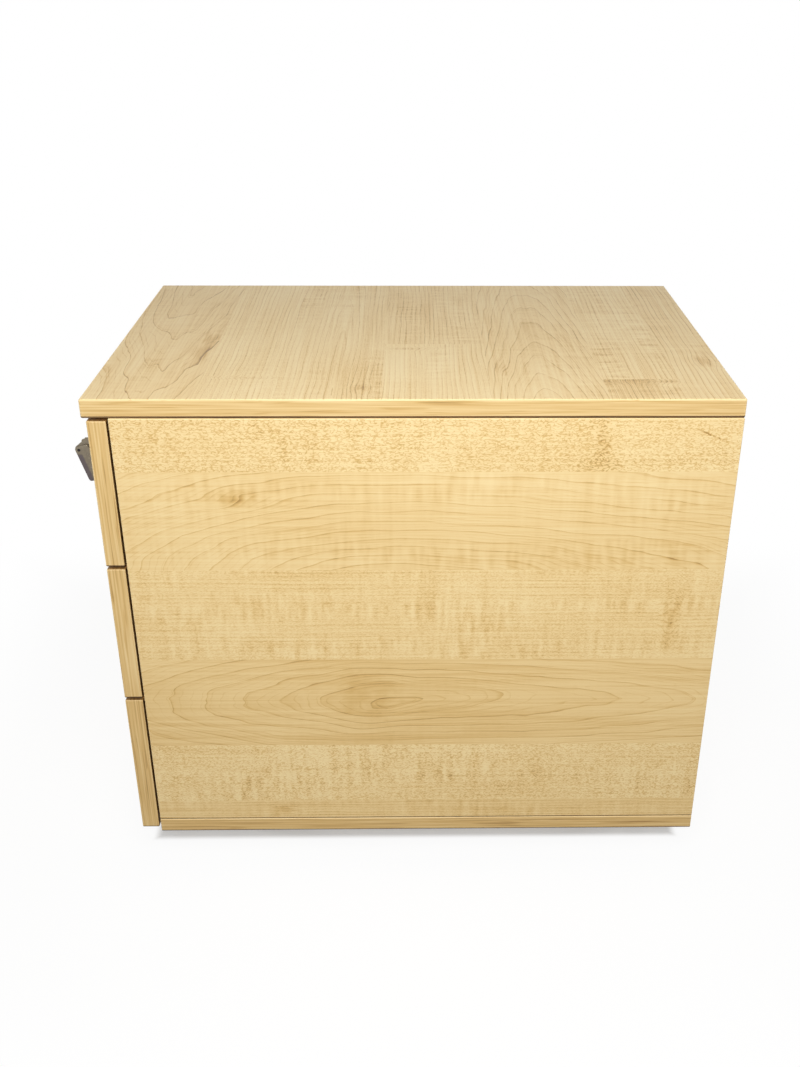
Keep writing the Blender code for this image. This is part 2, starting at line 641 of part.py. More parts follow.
def make_key(barrel_face, turn, zinc):
    """A folding key: a blade with a shank and pin, and the bow that hangs from the pin."""
    pin_y = FRONT_FACE - KEY_PIN_REACH
    pin_z = LOCK_Z - KEY_PIN_DROP
    hinge = pivot("key_hinge", (LOCK_X, pin_y, pin_z), turn)
    shank_rear = barrel_face - FIT
    bm = bmesh.new()
    half = SHANK_THICKNESS / 2
    shoulder_y = pin_y + KNUCKLE_RADIUS
    outline = [
        (shank_rear, LOCK_Z + SHANK_ABOVE),
        (shoulder_y, LOCK_Z + SHANK_ABOVE),
        (shoulder_y, LOCK_Z + SHANK_ABOVE - SHANK_STEP),
        (pin_y, LOCK_Z + SHANK_ABOVE - 2 * SHANK_STEP),
    ]
    outline += arc((pin_y, pin_z), KNUCKLE_RADIUS, 180, 360, HALF_TURN_STEPS)
    outline.append((shoulder_y, LOCK_Z - SHANK_BELOW))
    outline.append((shank_rear, LOCK_Z - SHANK_BELOW))
    points = [Vector((LOCK_X - half, y, z)) for y, z in outline]
    add_prism(bm, points, Vector((SHANK_THICKNESS, 0, 0)))
    blade = make_piece("key_blade", bm, zinc, turn)
    added = bmesh.new()
    add_box(
        added,
        (LOCK_X - KEY_THICKNESS / 2, shank_rear - half, LOCK_Z - KEY_WIDTH / 2),
        (LOCK_X + KEY_THICKNESS / 2, barrel_face + KEY_DEPTH, LOCK_Z + KEY_WIDTH / 2),
    )
    pin_half = BOW_THICKNESS / 2 + FIT
    start = (LOCK_X - pin_half, pin_y, pin_z)
    add_cylinder(added, start, (LOCK_X + pin_half, pin_y, pin_z), KEY_PIN_DIAMETER / 2, MEDIUM)
    combine(blade, "UNION", added)
    make_bow(hinge, zinc)


def make_bow(hinge, zinc):
    """The key's bow: a plate with two cheeks around the knuckle, leaning towards the drawer front."""
    place = world_place(hinge)
    lean = math.radians(BOW_LEAN)
    down = Vector((0, math.sin(lean), -math.cos(lean)))
    inward = Vector((0, math.cos(lean), math.sin(lean)))
    outline = arc((0, 0), BOW_OUTER, -90, -270, HALF_TURN_STEPS)
    outline.append((BOW_SHOULDER, BOW_INNER))
    low_corner = (BOW_LENGTH - BOW_CORNER, BOW_INNER - BOW_CORNER)
    outline += arc(low_corner, BOW_CORNER, 90, 0, CORNER_STEPS)
    high_corner = (BOW_LENGTH - BOW_CORNER, BOW_CORNER - BOW_OUTER)
    outline += arc(high_corner, BOW_CORNER, 0, -90, CORNER_STEPS)
    half = Vector((BOW_THICKNESS / 2, 0, 0))
    bm = bmesh.new()
    add_prism(bm, [place - half + down * u + inward * v for u, v in outline], 2 * half)
    bow = make_piece("key_bow", bm, zinc, hinge)
    gap = SHANK_THICKNESS / 2 + FIT
    reach = KNUCKLE_RADIUS + KNUCKLE_GAP
    cut = bmesh.new()
    corners = [(-reach, -BOW_LENGTH), (reach, -BOW_LENGTH), (reach, BOW_LENGTH), (-reach, BOW_LENGTH)]
    slot = [place - Vector((gap, 0, 0)) + down * u + inward * v for u, v in corners]
    add_prism(cut, slot, Vector((2 * gap, 0, 0)))
    combine(bow, "DIFFERENCE", cut)
    hole = bmesh.new()
    add_cylinder(hole, place - 2 * half, place + 2 * half, KEY_PIN_DIAMETER / 2 + FIT, MEDIUM)
    combine(bow, "DIFFERENCE", hole)


def make_locking_bar(steel, nylon):
    """The bar beside the runners, with a slotted arm for the lock's crank, and the guide that holds it."""
    slot_low = LOCK_Z - CRANK_PIN_RADIUS - SLOT_PLAY
    slot_high = LOCK_Z + CRANK_PIN_RADIUS + SLOT_PLAY + SLOT_RISE * CRANK_THROW
    slot_left = LOCK_X - CRANK_PIN_RADIUS - SLOT_PLAY
    slot_right = LOCK_X + CRANK_THROW + CRANK_PIN_RADIUS + SLOT_PLAY
    foot = RUNNER_BOTTOM["lower"] + BAR_FOOT
    slide = pivot("locking_bar_slide", (BAR_INNER, BAR_FRONT, foot))
    bm = bmesh.new()
    add_box(bm, (BAR_INNER, BAR_FRONT, foot), (BAR_OUTER, BAR_REAR, slot_high + ARM_RIM + BAR_HEAD))
    bar = make_piece("locking_bar", bm, steel, slide)
    added = bmesh.new()
    middle = (BAR_INNER + BAR_OUTER) / 2
    add_box(
        added,
        (slot_left - ARM_RIM, ARM_FRONT, slot_low - ARM_RIM),
        (middle, ARM_REAR, slot_high + ARM_RIM),
    )
    for level in LEVELS:
        low = RUNNER_BOTTOM[level] + LUG_RISE
        add_box(
            added,
            (BAR_INNER - LUG_REACH, ARM_FRONT, low),
            (middle, ARM_REAR, low + LUG_HEIGHT),
        )
    combine(bar, "UNION", added)
    slot = bmesh.new()
    add_box(
        slot,
        (slot_left, ARM_FRONT - BAR_WIDTH, slot_low),
        (slot_right, ARM_REAR + BAR_WIDTH, slot_high),
    )
    combine(bar, "DIFFERENCE", slot)

    guide = bmesh.new()
    cover = BAR_INNER - FIT
    section = [
        (WEB_OUTER, BAR_FRONT - GUIDE_WALL),
        (cover - GUIDE_WALL, BAR_FRONT - GUIDE_WALL),
        (cover - GUIDE_WALL, BAR_REAR + GUIDE_WALL),
        (WEB_OUTER, BAR_REAR + GUIDE_WALL),
        (WEB_OUTER, BAR_REAR + FIT),
        (cover, BAR_REAR + FIT),
        (cover, BAR_FRONT - FIT),
        (WEB_OUTER, BAR_FRONT - FIT),
    ]
    low = RUNNER_BOTTOM["middle"] + GUIDE_RISE
    add_prism(guide, [Vector((x, y, low)) for x, y in section], Vector((0, 0, GUIDE_HEIGHT)))
    make_piece("lock_bar_guide", guide, nylon, None, Vector((WEB_OUTER, BAR_FRONT, low)))


def make_castor(name, steel, nylon, zinc):
    """A plate castor: screwed plate with kingpin, swivelling fork, riveted axle and wheel."""
    x, y = castor_place(name)
    axle_y = y + CASTOR_TRAIL
    half = PLATE_SIZE / 2
    bm = bmesh.new()
    add_box(bm, (x - half, y - half, PLATE_BOTTOM), (x + half, y + half, PLATE_TOP))
    plate = make_piece(f"castor_plate_{name}", bm, steel, None, Vector((x, y, PLATE_TOP)))
    stem = KINGPIN_DIAMETER / 2
    head = KINGPIN_HEAD / 2
    race = RACE_DIAMETER / 2
    head_top = CROWN_BOTTOM - FIT
    inside = (PLATE_BOTTOM + PLATE_TOP) / 2
    profile = [
        (0, inside),
        (race, inside),
        (race, RACE_BOTTOM),
        (stem, RACE_BOTTOM),
        (stem, head_top),
        (head, head_top),
        (head, head_top - KINGPIN_HEAD_HEIGHT),
        (0, head_top - KINGPIN_HEAD_HEIGHT),
    ]
    kingpin = bmesh.new()
    add_turned(kingpin, (x, y, 0), (0, 0, 1), profile, MEDIUM)
    combine(plate, "UNION", kingpin)
    holes = bmesh.new()
    reach = half - PLATE_HOLE_MARGIN
    for across in (-reach, reach):
        for along in (-reach, reach):
            start = (x + across, y + along, PLATE_BOTTOM - PLATE_THICKNESS)
            end = (x + across, y + along, PLATE_TOP + PLATE_THICKNESS)
            add_cylinder(holes, start, end, PLATE_HOLE_DIAMETER / 2, COARSE)
    combine(plate, "DIFFERENCE", holes)

    swivel = pivot(f"castor_swivel_{name}", (x, y, CROWN_TOP))
    make_fork(name, x, y, axle_y, steel, swivel)
    spin = pivot(f"castor_spin_{name}", (x, axle_y, WHEEL_RADIUS), swivel)
    leg_outer = WHEEL_WIDTH / 2 + WHEEL_SIDE_GAP + FORK_SHEET
    rivet = AXLE_DIAMETER / 2
    cap = AXLE_HEAD / 2
    shoulder = leg_outer + FIT
    tip = shoulder + AXLE_HEAD_HEIGHT
    profile = [(0, -tip), (cap, -tip), (cap, -shoulder), (rivet, -shoulder)]
    profile += [(radius, -height) for radius, height in reversed(profile)]
    axle = bmesh.new()
    add_turned(axle, (x, axle_y, WHEEL_RADIUS), (1, 0, 0), profile, MEDIUM)
    make_piece(f"castor_axle_{name}", axle, zinc, spin)
    make_wheel(name, x, axle_y, nylon, spin)


def make_fork(name, x, y, axle_y, steel, swivel):
    """A pressed fork: a round crown with a leg on each side of the wheel."""
    hole = KINGPIN_DIAMETER / 2 + FIT
    bm = bmesh.new()
    crown = CROWN_DIAMETER / 2
    profile = [(hole, CROWN_BOTTOM), (crown, CROWN_BOTTOM), (crown, CROWN_TOP), (hole, CROWN_TOP)]
    add_turned(bm, (x, y, 0), (0, 0, 1), profile, FINE, closed=True)
    fork = make_piece(f"castor_fork_{name}", bm, steel, swivel)
    leg_inner = WHEEL_WIDTH / 2 + WHEEL_SIDE_GAP
    leg_top = (CROWN_BOTTOM + CROWN_TOP) / 2
    spread = math.sqrt(crown**2 - (leg_inner + FORK_SHEET) ** 2) - FIT
    foot = (axle_y, WHEEL_RADIUS)
    outline = arc(foot, LEG_FOOT_RADIUS, 180 + LEG_FOOT_RISE, 360 + LEG_FOOT_RISE, HALF_TURN_STEPS)
    outline += [(y + spread, leg_top), (y - spread, leg_top)]
    legs, bores = bmesh.new(), bmesh.new()
    for sign in SIDES.values():
        start = x + sign * leg_inner
        points = [Vector((start, along, z)) for along, z in outline]
        add_prism(legs, points, Vector((sign * FORK_SHEET, 0, 0)))
    combine(fork, "UNION", legs)
    far = WHEEL_WIDTH + FORK_SHEET
    start = (x - far, axle_y, WHEEL_RADIUS)
    add_cylinder(bores, start, (x + far, axle_y, WHEEL_RADIUS), AXLE_DIAMETER / 2 + FIT, MEDIUM)
    combine(fork, "DIFFERENCE", bores)


def make_wheel(name, x, axle_y, nylon, spin):
    """A castor wheel with a rounded tread, dished faces and a hub bored for the axle."""
    bore = AXLE_DIAMETER / 2 + FIT
    half = WHEEL_WIDTH / 2
    rim = WHEEL_RADIUS - WHEEL_RIM
    dish = half - WHEEL_DISH
    flat = half - WHEEL_ROUND
    side = [(bore, half), (HUB_RADIUS, half), (HUB_RADIUS, dish), (rim, dish), (rim, half)]
    tread = arc((flat, WHEEL_RADIUS - WHEEL_ROUND), WHEEL_ROUND, 0, 90, TREAD_STEPS)
    side += [(radius, height) for height, radius in tread]
    profile = side + [(radius, -height) for radius, height in reversed(side)]
    bm = bmesh.new()
    add_turned(bm, (x, axle_y, WHEEL_RADIUS), (1, 0, 0), profile, FINE, closed=True)
    make_piece(f"castor_wheel_{name}", bm, nylon, spin)


def main():
    for item in list(bpy.data.objects):
        bpy.data.objects.remove(item)
    board = make_material("faced_board", (0.80, 0.60, 0.34), 0.45, 0.0)
    steel = make_material("coated_steel", (0.55, 0.56, 0.57), 0.4, 0.6)
    zinc = make_material("zinc_plate", (0.42, 0.40, 0.37), 0.35, 0.9)
    brass = make_material("lock_barrel_metal", (0.60, 0.57, 0.50), 0.3, 1.0)
    metal = make_material("satin_handle", (0.62, 0.62, 0.61), 0.3, 1.0)
    nylon = make_material("black_nylon", (0.02, 0.02, 0.02), 0.5, 0.0)
    white_nylon = make_material("white_nylon", (0.75, 0.75, 0.73), 0.45, 0.0)

    make_case(board)
    make_locking_bar(steel, white_nylon)
    for level in LEVELS:
        slide = make_drawer(level, board, steel, metal)
        for side, sign in SIDES.items():
            make_runner(level, side, sign, steel)
        span = (WALL_OUTER + ROLLER_SIDE_GAP, TRACK_EDGE)
        make_rollers("runner_roller", level, FRONT_ROLLER_Y, *span, white_nylon)
        span = (REAR_ROLLER_INNER, REAR_ROLLER_OUTER)
        make_rollers("drawer_roller", level, REAR_ROLLER_Y, *span, white_nylon, slide)
        if level == "upper":
            make_lock(zinc, brass, slide)
    for name in CASTORS:
        make_castor(name, steel, nylon, zinc)


main()
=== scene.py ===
# %% [markdown]
# # A mobile pedestal in maple-pattern boards
# The imported model is a fixed frame: every piece made here is placed by what the frame says, in metres, and
# rides on one of its bodies. The box that the solids fill is kept.

# %% The frame
import functools
import json
import math
from dataclasses import dataclass

import bpy
import numpy as np
from mathutils import Euler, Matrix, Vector


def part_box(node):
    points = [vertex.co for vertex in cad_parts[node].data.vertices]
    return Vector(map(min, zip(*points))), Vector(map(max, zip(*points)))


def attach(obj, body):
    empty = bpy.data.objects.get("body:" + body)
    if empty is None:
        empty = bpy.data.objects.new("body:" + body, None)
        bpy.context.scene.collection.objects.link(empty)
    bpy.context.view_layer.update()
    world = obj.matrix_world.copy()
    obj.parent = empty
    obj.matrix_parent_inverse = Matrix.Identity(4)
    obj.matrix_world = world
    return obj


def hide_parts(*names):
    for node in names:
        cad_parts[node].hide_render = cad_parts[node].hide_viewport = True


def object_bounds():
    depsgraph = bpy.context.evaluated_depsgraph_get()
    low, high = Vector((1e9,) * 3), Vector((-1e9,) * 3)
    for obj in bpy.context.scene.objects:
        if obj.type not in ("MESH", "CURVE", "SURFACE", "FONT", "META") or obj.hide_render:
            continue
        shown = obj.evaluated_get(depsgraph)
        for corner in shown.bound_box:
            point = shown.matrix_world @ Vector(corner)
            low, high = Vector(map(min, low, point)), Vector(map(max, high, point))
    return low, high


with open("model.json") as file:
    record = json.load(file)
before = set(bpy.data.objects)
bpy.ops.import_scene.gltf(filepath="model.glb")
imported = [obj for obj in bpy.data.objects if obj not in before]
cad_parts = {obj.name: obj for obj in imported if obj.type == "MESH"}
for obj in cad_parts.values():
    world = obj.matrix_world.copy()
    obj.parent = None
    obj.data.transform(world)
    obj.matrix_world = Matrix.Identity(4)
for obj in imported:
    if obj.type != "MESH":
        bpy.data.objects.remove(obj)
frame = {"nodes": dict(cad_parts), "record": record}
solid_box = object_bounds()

MM = 0.001
X_AXIS, Y_AXIS, Z_AXIS = range(3)
LEVELS = ("upper", "middle", "lower")
SIDES = {"right": 1, "left": -1}  # each with the sign of its x
CASTORS = ("front_right", "front_left", "rear_right", "rear_left")
nodes = frame["nodes"]
bodies = frame["record"]["behaviour"]["bodies"]
body_of = {node: body for body, names in bodies.items() for node in names}


def link(name, data):
    """An object of some data, put into the scene."""
    made = bpy.data.objects.new(name, data)
    bpy.context.scene.collection.objects.link(made)
    return made


def midway(low, high):
    """The middle of the box between two corners."""
    return [(first + second) / 2 for first, second in zip(low, high)]


# %% [markdown]
# ## The camera
# The photograph looks down on the right-hand side from about a metre away. Its place, turn and lens were
# found by fitting a pinhole camera to the straight edges of the boards, which is surer than turning it by
# eye. A small shift keeps the picture's framing, because the photograph's centre is not quite on the
# lens's axis.

# %% Camera
PHOTO = (800, 1067)  # width and height in pixels
FOCAL_PIXELS = 1173.2
CENTRE_PIXELS = (436.4, 562.4)  # where the lens's axis meets the picture
CAMERA_PLACE = (1198.2 * MM, 13.2 * MM, 898.1 * MM)
CAMERA_TURN = (62.353, -0.304, 89.041)  # degrees about X, Y and Z

camera_data = bpy.data.cameras.new("camera")
camera_data.sensor_fit = "HORIZONTAL"
camera_data.lens = FOCAL_PIXELS * camera_data.sensor_width / PHOTO[0]
camera_data.shift_x = (PHOTO[0] / 2 - CENTRE_PIXELS[0]) / PHOTO[0]
camera_data.shift_y = (CENTRE_PIXELS[1] - PHOTO[1] / 2) / PHOTO[0]
camera = link("camera", camera_data)
camera.location = CAMERA_PLACE
camera.rotation_euler = Euler([math.radians(angle) for angle in CAMERA_TURN])
bpy.context.scene.camera = camera
bpy.context.scene.view_settings.view_transform = "Standard"
print("lens", round(camera_data.lens, 2), "mm")


# %% [markdown]
# ## Shader maths as Python
# A finish is a web of nodes. Wiring it line by line hides the formula, so a small class wraps a socket and
# lets Python's own operators add the Math nodes: `1 - mask * 0.5` reads as it works. Every other node comes
# from one method, which sets the node's own settings first and its sockets after.

# %% Sockets that calculate
def maths(operation, swapped=False):
    """A method that adds one Math node. The socket comes first in it, or last where it is swapped."""

    def method(self, *others):
        values = (*others, self) if swapped else (self, *others)
        return self.web.node("ShaderNodeMath", {"operation": operation}, dict(enumerate(values)))

    return method


class Value:
    """A socket in an expression: each operator adds one Math node and gives its output."""

    def __init__(self, web, socket):
        self.web = web
        self.socket = socket

    __add__ = __radd__ = maths("ADD")
    __mul__ = __rmul__ = maths("MULTIPLY")
    __sub__ = maths("SUBTRACT")
    __rsub__ = maths("SUBTRACT", swapped=True)
    __truediv__ = maths("DIVIDE")
    __pow__ = maths("POWER")
    __gt__ = maths("GREATER_THAN")
    root = maths("SQRT")
    fraction = maths("FRACT")
    size = maths("ABSOLUTE")
    larger = maths("MAXIMUM")

    def ease(self, low, high):
        """Rise smoothly from 0 at low to 1 at high."""
        settings = {"interpolation_type": "SMOOTHSTEP"}
        inputs = {"Value": self, "From Min": low, "From Max": high}
        return self.web.node("ShaderNodeMapRange", settings, inputs)


print("sockets add Math nodes for + - * / ** and >")

# %% Webs of nodes and finishes
class Web:
    """A web of nodes: node() adds one of any kind, and the rest are short ways to common ones."""

    def __init__(self, tree):
        self.tree = tree

    def node(self, kind, settings=None, inputs=None, output=0):
        """Add a node of a kind, set its settings, feed its sockets and give one output."""
        made = self.tree.nodes.new(kind)
        for key, value in (settings or {}).items():
            setattr(made, key, value)
        for key, value in (inputs or {}).items():
            self.feed(made.inputs[key], value)
        return Value(self, made.outputs[output])

    def feed(self, socket, value):
        """Link a value to a socket, or set the socket to a plain number or colour."""
        if isinstance(value, Value):
            self.tree.links.new(value.socket, socket)
        else:
            socket.default_value = value

    def own_place(self):
        """The place of a point in its piece's own coordinates."""
        return self.node("ShaderNodeTexCoord", output=3)

    def noise(self, place, stretch, detail=2.0, distortion=0.0):
        """Noise from 0 to 1, with so many grains a metre along each axis."""
        spread = self.node("ShaderNodeVectorMath", {"operation": "MULTIPLY"}, {0: place, 1: stretch})
        inputs = {"Vector": spread, "Scale": 1.0, "Detail": detail, "Distortion": distortion}
        return self.node("ShaderNodeTexNoise", None, inputs)

    def parts(self, vector):
        """The three numbers of a vector."""
        split = self.node("ShaderNodeSeparateXYZ", None, {0: vector}).socket.node
        return [Value(self, output) for output in split.outputs]

    def ramp(self, tone, stops):
        """A colour picked from a row of stops by a tone from 0 to 1."""
        picked = self.node("ShaderNodeValToRGB", None, {0: tone})
        elements = picked.socket.node.color_ramp.elements
        while len(elements) < len(stops):
            elements.new(1.0)
        for element, (position, colour) in zip(elements, stops):
            element.position = position
            element.color = colour
        return picked

    def mix(self, share, first, second):
        """A colour between two others."""
        inputs = {"Factor": share, 6: first, 7: second}
        return self.node("ShaderNodeMix", {"data_type": "RGBA"}, inputs, output=2)

    def bump(self, height, strength, distance):
        """A normal that leans with a height in metres times distance."""
        inputs = {"Height": height, "Strength": strength, "Distance": distance}
        return self.node("ShaderNodeBump", None, inputs)

    def seen(self):
        """1 where the camera looks, straight, by a gloss or through a clear piece, and 0 for plain light."""
        path = self.node("ShaderNodeLightPath").socket.node.outputs
        rays = [Value(self, path[f"Is {kind} Ray"]) for kind in ("Camera", "Glossy", "Transmission")]
        return (rays[0] + rays[1] + rays[2]) > 0.5


def linear(red, green, blue):
    """Linear light of a colour given as the 0 to 255 values that a picture shows, and a full alpha."""
    shown = np.array([red, green, blue]) / 255
    light = np.where(shown <= 0.04045, shown / 12.92, ((shown + 0.055) / 1.055) ** 2.4)
    return (*(float(part) for part in light), 1.0)


class Finish(Web):
    """A material being written, with a shader whose sockets are fed by name."""

    def __init__(self, name):
        self.material = bpy.data.materials.new(name)
        self.material.use_nodes = True
        super().__init__(self.material.node_tree)
        self.surface = self.tree.nodes["Principled BSDF"]

    def speckle(self, per_metre, stretch=(1.0, 1.0, 1.0), detail=2.0):
        """Noise in the piece's own coordinates, with so many grains a metre, stretched along the axes."""
        return self.noise(self.own_place(), tuple(per_metre * part for part in stretch), detail)

    def two_tone(self, share, first, second):
        """A colour between two picture colours."""
        return self.mix(share, linear(*first), linear(*second))

    def set(self, **sockets):
        """Feed sockets of the shader, where an underscore stands for a space, and give the material."""
        for name, value in sockets.items():
            self.feed(self.surface.inputs[name.replace("_", " ")], value)
        return self.material


print("straw yellow is", [round(part, 3) for part in linear(240, 211, 155)], "in linear light")


# %% [markdown]
# ## Studio
# The photograph has a plain white surrounding and soft light from above and behind the camera, which falls
# off towards the floor. A large soft lamp above, a second one beside the camera and a pale sky do the same.
# Three low lamps light the sides that the photograph doesn't show, and leave no glare on the boards. The
# floor shows itself to the camera partly as plain white, so that it stays white and still keeps the shadow.

# %% Lamps and sky
SIDE_TARGET = (0.1, 0.0, 0.3)  # where the lamps on the photograph's side point
LOW_TARGET = (0.0, 0.0, 0.27)  # and the low lamps
LOW_HEIGHT = 0.28
LOW_SIZE = 0.5
LOW_LAMPS = {  # x, y and watts
    "lamp_front": (-0.5, -2.4, 26.0),
    "lamp_left": (-2.4, 0.9, 26.0),
    "lamp_back": (-0.5, 2.4, 20.0),
}
SKY_LIGHT = 0.10


def soft_lamp(name, place, target, size, watts, glint=True):
    """A square lamp that faces a target. Without glint it leaves no glare on a board seen at a slant."""
    data = bpy.data.lights.new(name, "AREA")
    data.size = size
    data.energy = watts
    lamp = link(name, data)
    lamp.location = place
    lamp.visible_glossy = glint
    lamp.rotation_euler = (Vector(target) - Vector(place)).to_track_quat("-Z", "Y").to_euler()


soft_lamp("lamp_above", (0.92, 0.05, 1.15), SIDE_TARGET, size=0.7, watts=6.5)
soft_lamp("lamp_behind_camera", (1.8, 0.0, 1.8), SIDE_TARGET, size=1.2, watts=30.0)
for name, (x, y, watts) in LOW_LAMPS.items():
    soft_lamp(name, (x, y, LOW_HEIGHT), LOW_TARGET, LOW_SIZE, watts, glint=False)

world = bpy.data.worlds.new("pale_room")
bpy.context.scene.world = world
world.use_nodes = True
room = Web(world.node_tree)
background = world.node_tree.nodes["Background"]
background.inputs["Color"].default_value = (1.0, 1.0, 1.0, 1.0)
room.feed(background.inputs["Strength"], SKY_LIGHT + room.seen() * (1 - SKY_LIGHT))
print(2 + len(LOW_LAMPS), "lamps and a sky of", SKY_LIGHT)

# %% Floor
FLOOR_SIZE = 12.0
WHITE_SHARE_OPEN = 0.92  # share of plain white in the floor that the camera sees
WHITE_SHARE_UNDER = 0.33  # the same under the pedestal, which leaves its shadow
SHADOW_SIDE = (-48 * MM, -38 * MM)  # the floor turns pale between these depths under a side
SHADOW_END = (-12 * MM, 0.0)  # and these under the front and the back
SHADOW_REACH = (150 * MM, 400 * MM)  # and plain white between these distances from it
FLOOR_PALE = (0.95, 0.95, 0.95, 1.0)  # as the camera sees it
FLOOR_BOUNCE = (0.25, 0.25, 0.25, 1.0)  # as it throws light back on the boards

half = FLOOR_SIZE / 2
corners = [(-half, -half, 0), (half, -half, 0), (half, half, 0), (-half, half, 0)]
floor_mesh = bpy.data.meshes.new("floor")
floor_mesh.from_pydata(corners, [], [(0, 1, 2, 3)])
floor = link("floor", floor_mesh)

f = Finish("white_floor")
x, y, _ = f.parts(f.own_place())
low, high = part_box("top_panel")
middle = midway(low, high)
beside = (x - middle[0]).size() - (high.x - low.x) / 2
before = (y - middle[1]).size() - (high.y - low.y) / 2
at_side = beside.ease(*SHADOW_SIDE)
at_end = before.ease(*SHADOW_END)
open_floor = at_side.larger(at_end) * (WHITE_SHARE_OPEN - WHITE_SHARE_UNDER)
far_floor = beside.larger(before).ease(*SHADOW_REACH) * (1 - WHITE_SHARE_OPEN)
seen = f.seen()
share = (WHITE_SHARE_UNDER + open_floor + far_floor) * seen
f.set(Base_Color=f.mix(seen, FLOOR_BOUNCE, FLOOR_PALE), Roughness=0.8, Specular_IOR_Level=0.0)
plain_white = f.node("ShaderNodeEmission")
shader = Value(f, f.surface.outputs[0])
blend = f.node("ShaderNodeMixShader", None, {0: share, 1: shader, 2: plain_white})
f.feed(f.tree.nodes["Material Output"].inputs["Surface"], blend)
floor_mesh.materials.append(f.material)
print("a floor of", FLOOR_SIZE, "m")


# %% [markdown]
# ## Surfaces from grids
# Each new piece is a surface worked out as whole arrays: a grid of points from a formula, and the quads
# between neighbours. Welding joins the points that coincide, which closes seams and poles, so each skin is
# closed. A lathe, a bent bar and a cut plate cover nearly everything here, as they do in a workshop.

# %% Grids and meshes
WELD = 1e-6
SHARP = 40  # degrees between faces that meet in a hard edge


def grid_quads(rows, columns, ring=True):
    """Quads between neighbours on a grid stored row by row. In a ring the last column meets the first."""
    corner = np.arange(rows * columns).reshape(rows, columns)
    after = np.roll(corner, -1, axis=1)
    quads = np.stack([corner[:-1], corner[1:], after[1:], after[:-1]], axis=-1)
    return (quads if ring else quads[:, :-1]).reshape(-1, 4)


def weld(points, quads):
    """Join coinciding points. A quad that has lost a side becomes a triangle, and an empty one goes."""
    keys = np.round(points / WELD).astype(np.int64)
    _, first, where = np.unique(keys, axis=0, return_index=True, return_inverse=True)
    quads = where.reshape(-1)[quads]
    same = quads == np.roll(quads, -1, axis=1)
    pinched = same.sum(axis=1) == 1
    triangles = quads[pinched][~same[pinched]].reshape(-1, 3)
    return points[first], quads[~same.any(axis=1)].tolist() + triangles.tolist()


def join(*skins):
    """Several skins of points and faces as one."""
    points = []
    faces = []
    for skin_points, skin_faces in skins:
        start = sum(len(part) for part in points)
        faces += [[corner + start for corner in face] for face in skin_faces]
        points.append(skin_points)
    return np.concatenate(points), faces


def make_piece(name, skin, material, replaced=None, body=None, sharp=SHARP):
    """A mesh object at the origin from points and faces, with the material of a slot.

    It takes the place of a node and rides on that node's body, or is added to a body.
    """
    points, faces = skin
    mesh = bpy.data.meshes.new(name)
    mesh.from_pydata(points, [], faces)
    mesh.shade_smooth()
    mesh.set_sharp_from_angle(angle=math.radians(sharp))
    mesh.materials.append(material)
    piece = link(name, mesh)
    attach(piece, body or body_of[replaced])
    if replaced:
        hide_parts(replaced)
    return piece


print("points within", WELD, "m are welded")

# %% Lathe, bent bar and cut plate
TURN_STEPS = 48
TURN = np.linspace(0, 2 * np.pi, TURN_STEPS, endpoint=False)[:, None]
SOFT_STEPS = 4
RIM_STEPS = 3
LARGEST_SOFT = 0.45  # the most of a side that one rounded corner takes
SOFT = 0.5 * MM  # rounding of turned metal
FINE_SOFT = 0.2 * MM


def soften(corners, radius, closed=True):
    """A line of corners with each one rounded off, from one radius before it to one radius after it.

    Between the start A and the end B the curve is (1-t)^2 A + 2 t (1-t) P + t^2 B, with the corner as P.
    """
    corners = np.asarray(corners, dtype=float)
    ways = np.stack([np.roll(corners, step, axis=0) - corners for step in (1, -1)])
    lengths = np.linalg.norm(ways, axis=2, keepdims=True)
    reach = np.minimum(radius, LARGEST_SOFT * lengths.min(axis=0))
    start, end = (corners + ways / lengths * reach)[:, :, None]
    t = np.linspace(0, 1, SOFT_STEPS + 1)[None, :, None]
    curve = (1 - t) ** 2 * start + 2 * t * (1 - t) * corners[:, None] + t**2 * end
    if closed:
        return curve.reshape(-1, 2)
    return np.concatenate([corners[:1], curve[1:-1].reshape(-1, 2), corners[-1:]])


def turned(corners, soft, centre, axis, closed=True):
    """A lathe's surface: a softened profile of places along the axis and radii, carried once round it.

    A closed profile comes back to its first row, which makes a ring with a bore.
    """
    profile = soften(corners, soft, closed)
    if closed:
        profile = np.concatenate([profile, profile[:1]])
    along = np.eye(3)[axis]
    side = np.eye(3)[(axis + 1) % 3]
    ring = np.cos(TURN) * side + np.sin(TURN) * np.cross(side, along)
    points = np.asarray(centre) + profile[:, None, :1] * along + profile[:, None, 1:] * ring
    return weld(points.reshape(-1, 3), grid_quads(len(profile), TURN_STEPS))


def bent_bar(path, radius):
    """A round bar along a level path: a ring round each point, and a point to close each end."""
    path = np.asarray(path, dtype=float)
    heading = np.gradient(path, axis=0)
    heading /= np.linalg.norm(heading, axis=1, keepdims=True)
    up = np.array([0.0, 0.0, 1.0])
    across = np.cross(heading, up)
    ring = np.cos(TURN) * across[:, None] + np.sin(TURN) * up
    rows = path[:, None] + radius * ring
    ends = [np.repeat(path[place][None, None], TURN_STEPS, axis=1) for place in (0, -1)]
    points = np.concatenate([ends[0], rows, ends[1]])
    return weld(points.reshape(-1, 3), grid_quads(len(points), TURN_STEPS))


def inset(outline, depth):
    """A closed outline moved inwards: each point goes along the halfway line between its two sides."""
    ahead = np.roll(outline, -1, axis=0) - outline
    ahead /= np.linalg.norm(ahead, axis=1, keepdims=True)
    normal = np.stack([ahead[:, 1], -ahead[:, 0]], axis=1)
    earlier = np.roll(normal, 1, axis=0)
    halfway = (normal + earlier) / (1 + (normal * earlier).sum(axis=1, keepdims=True))
    return outline - depth * halfway


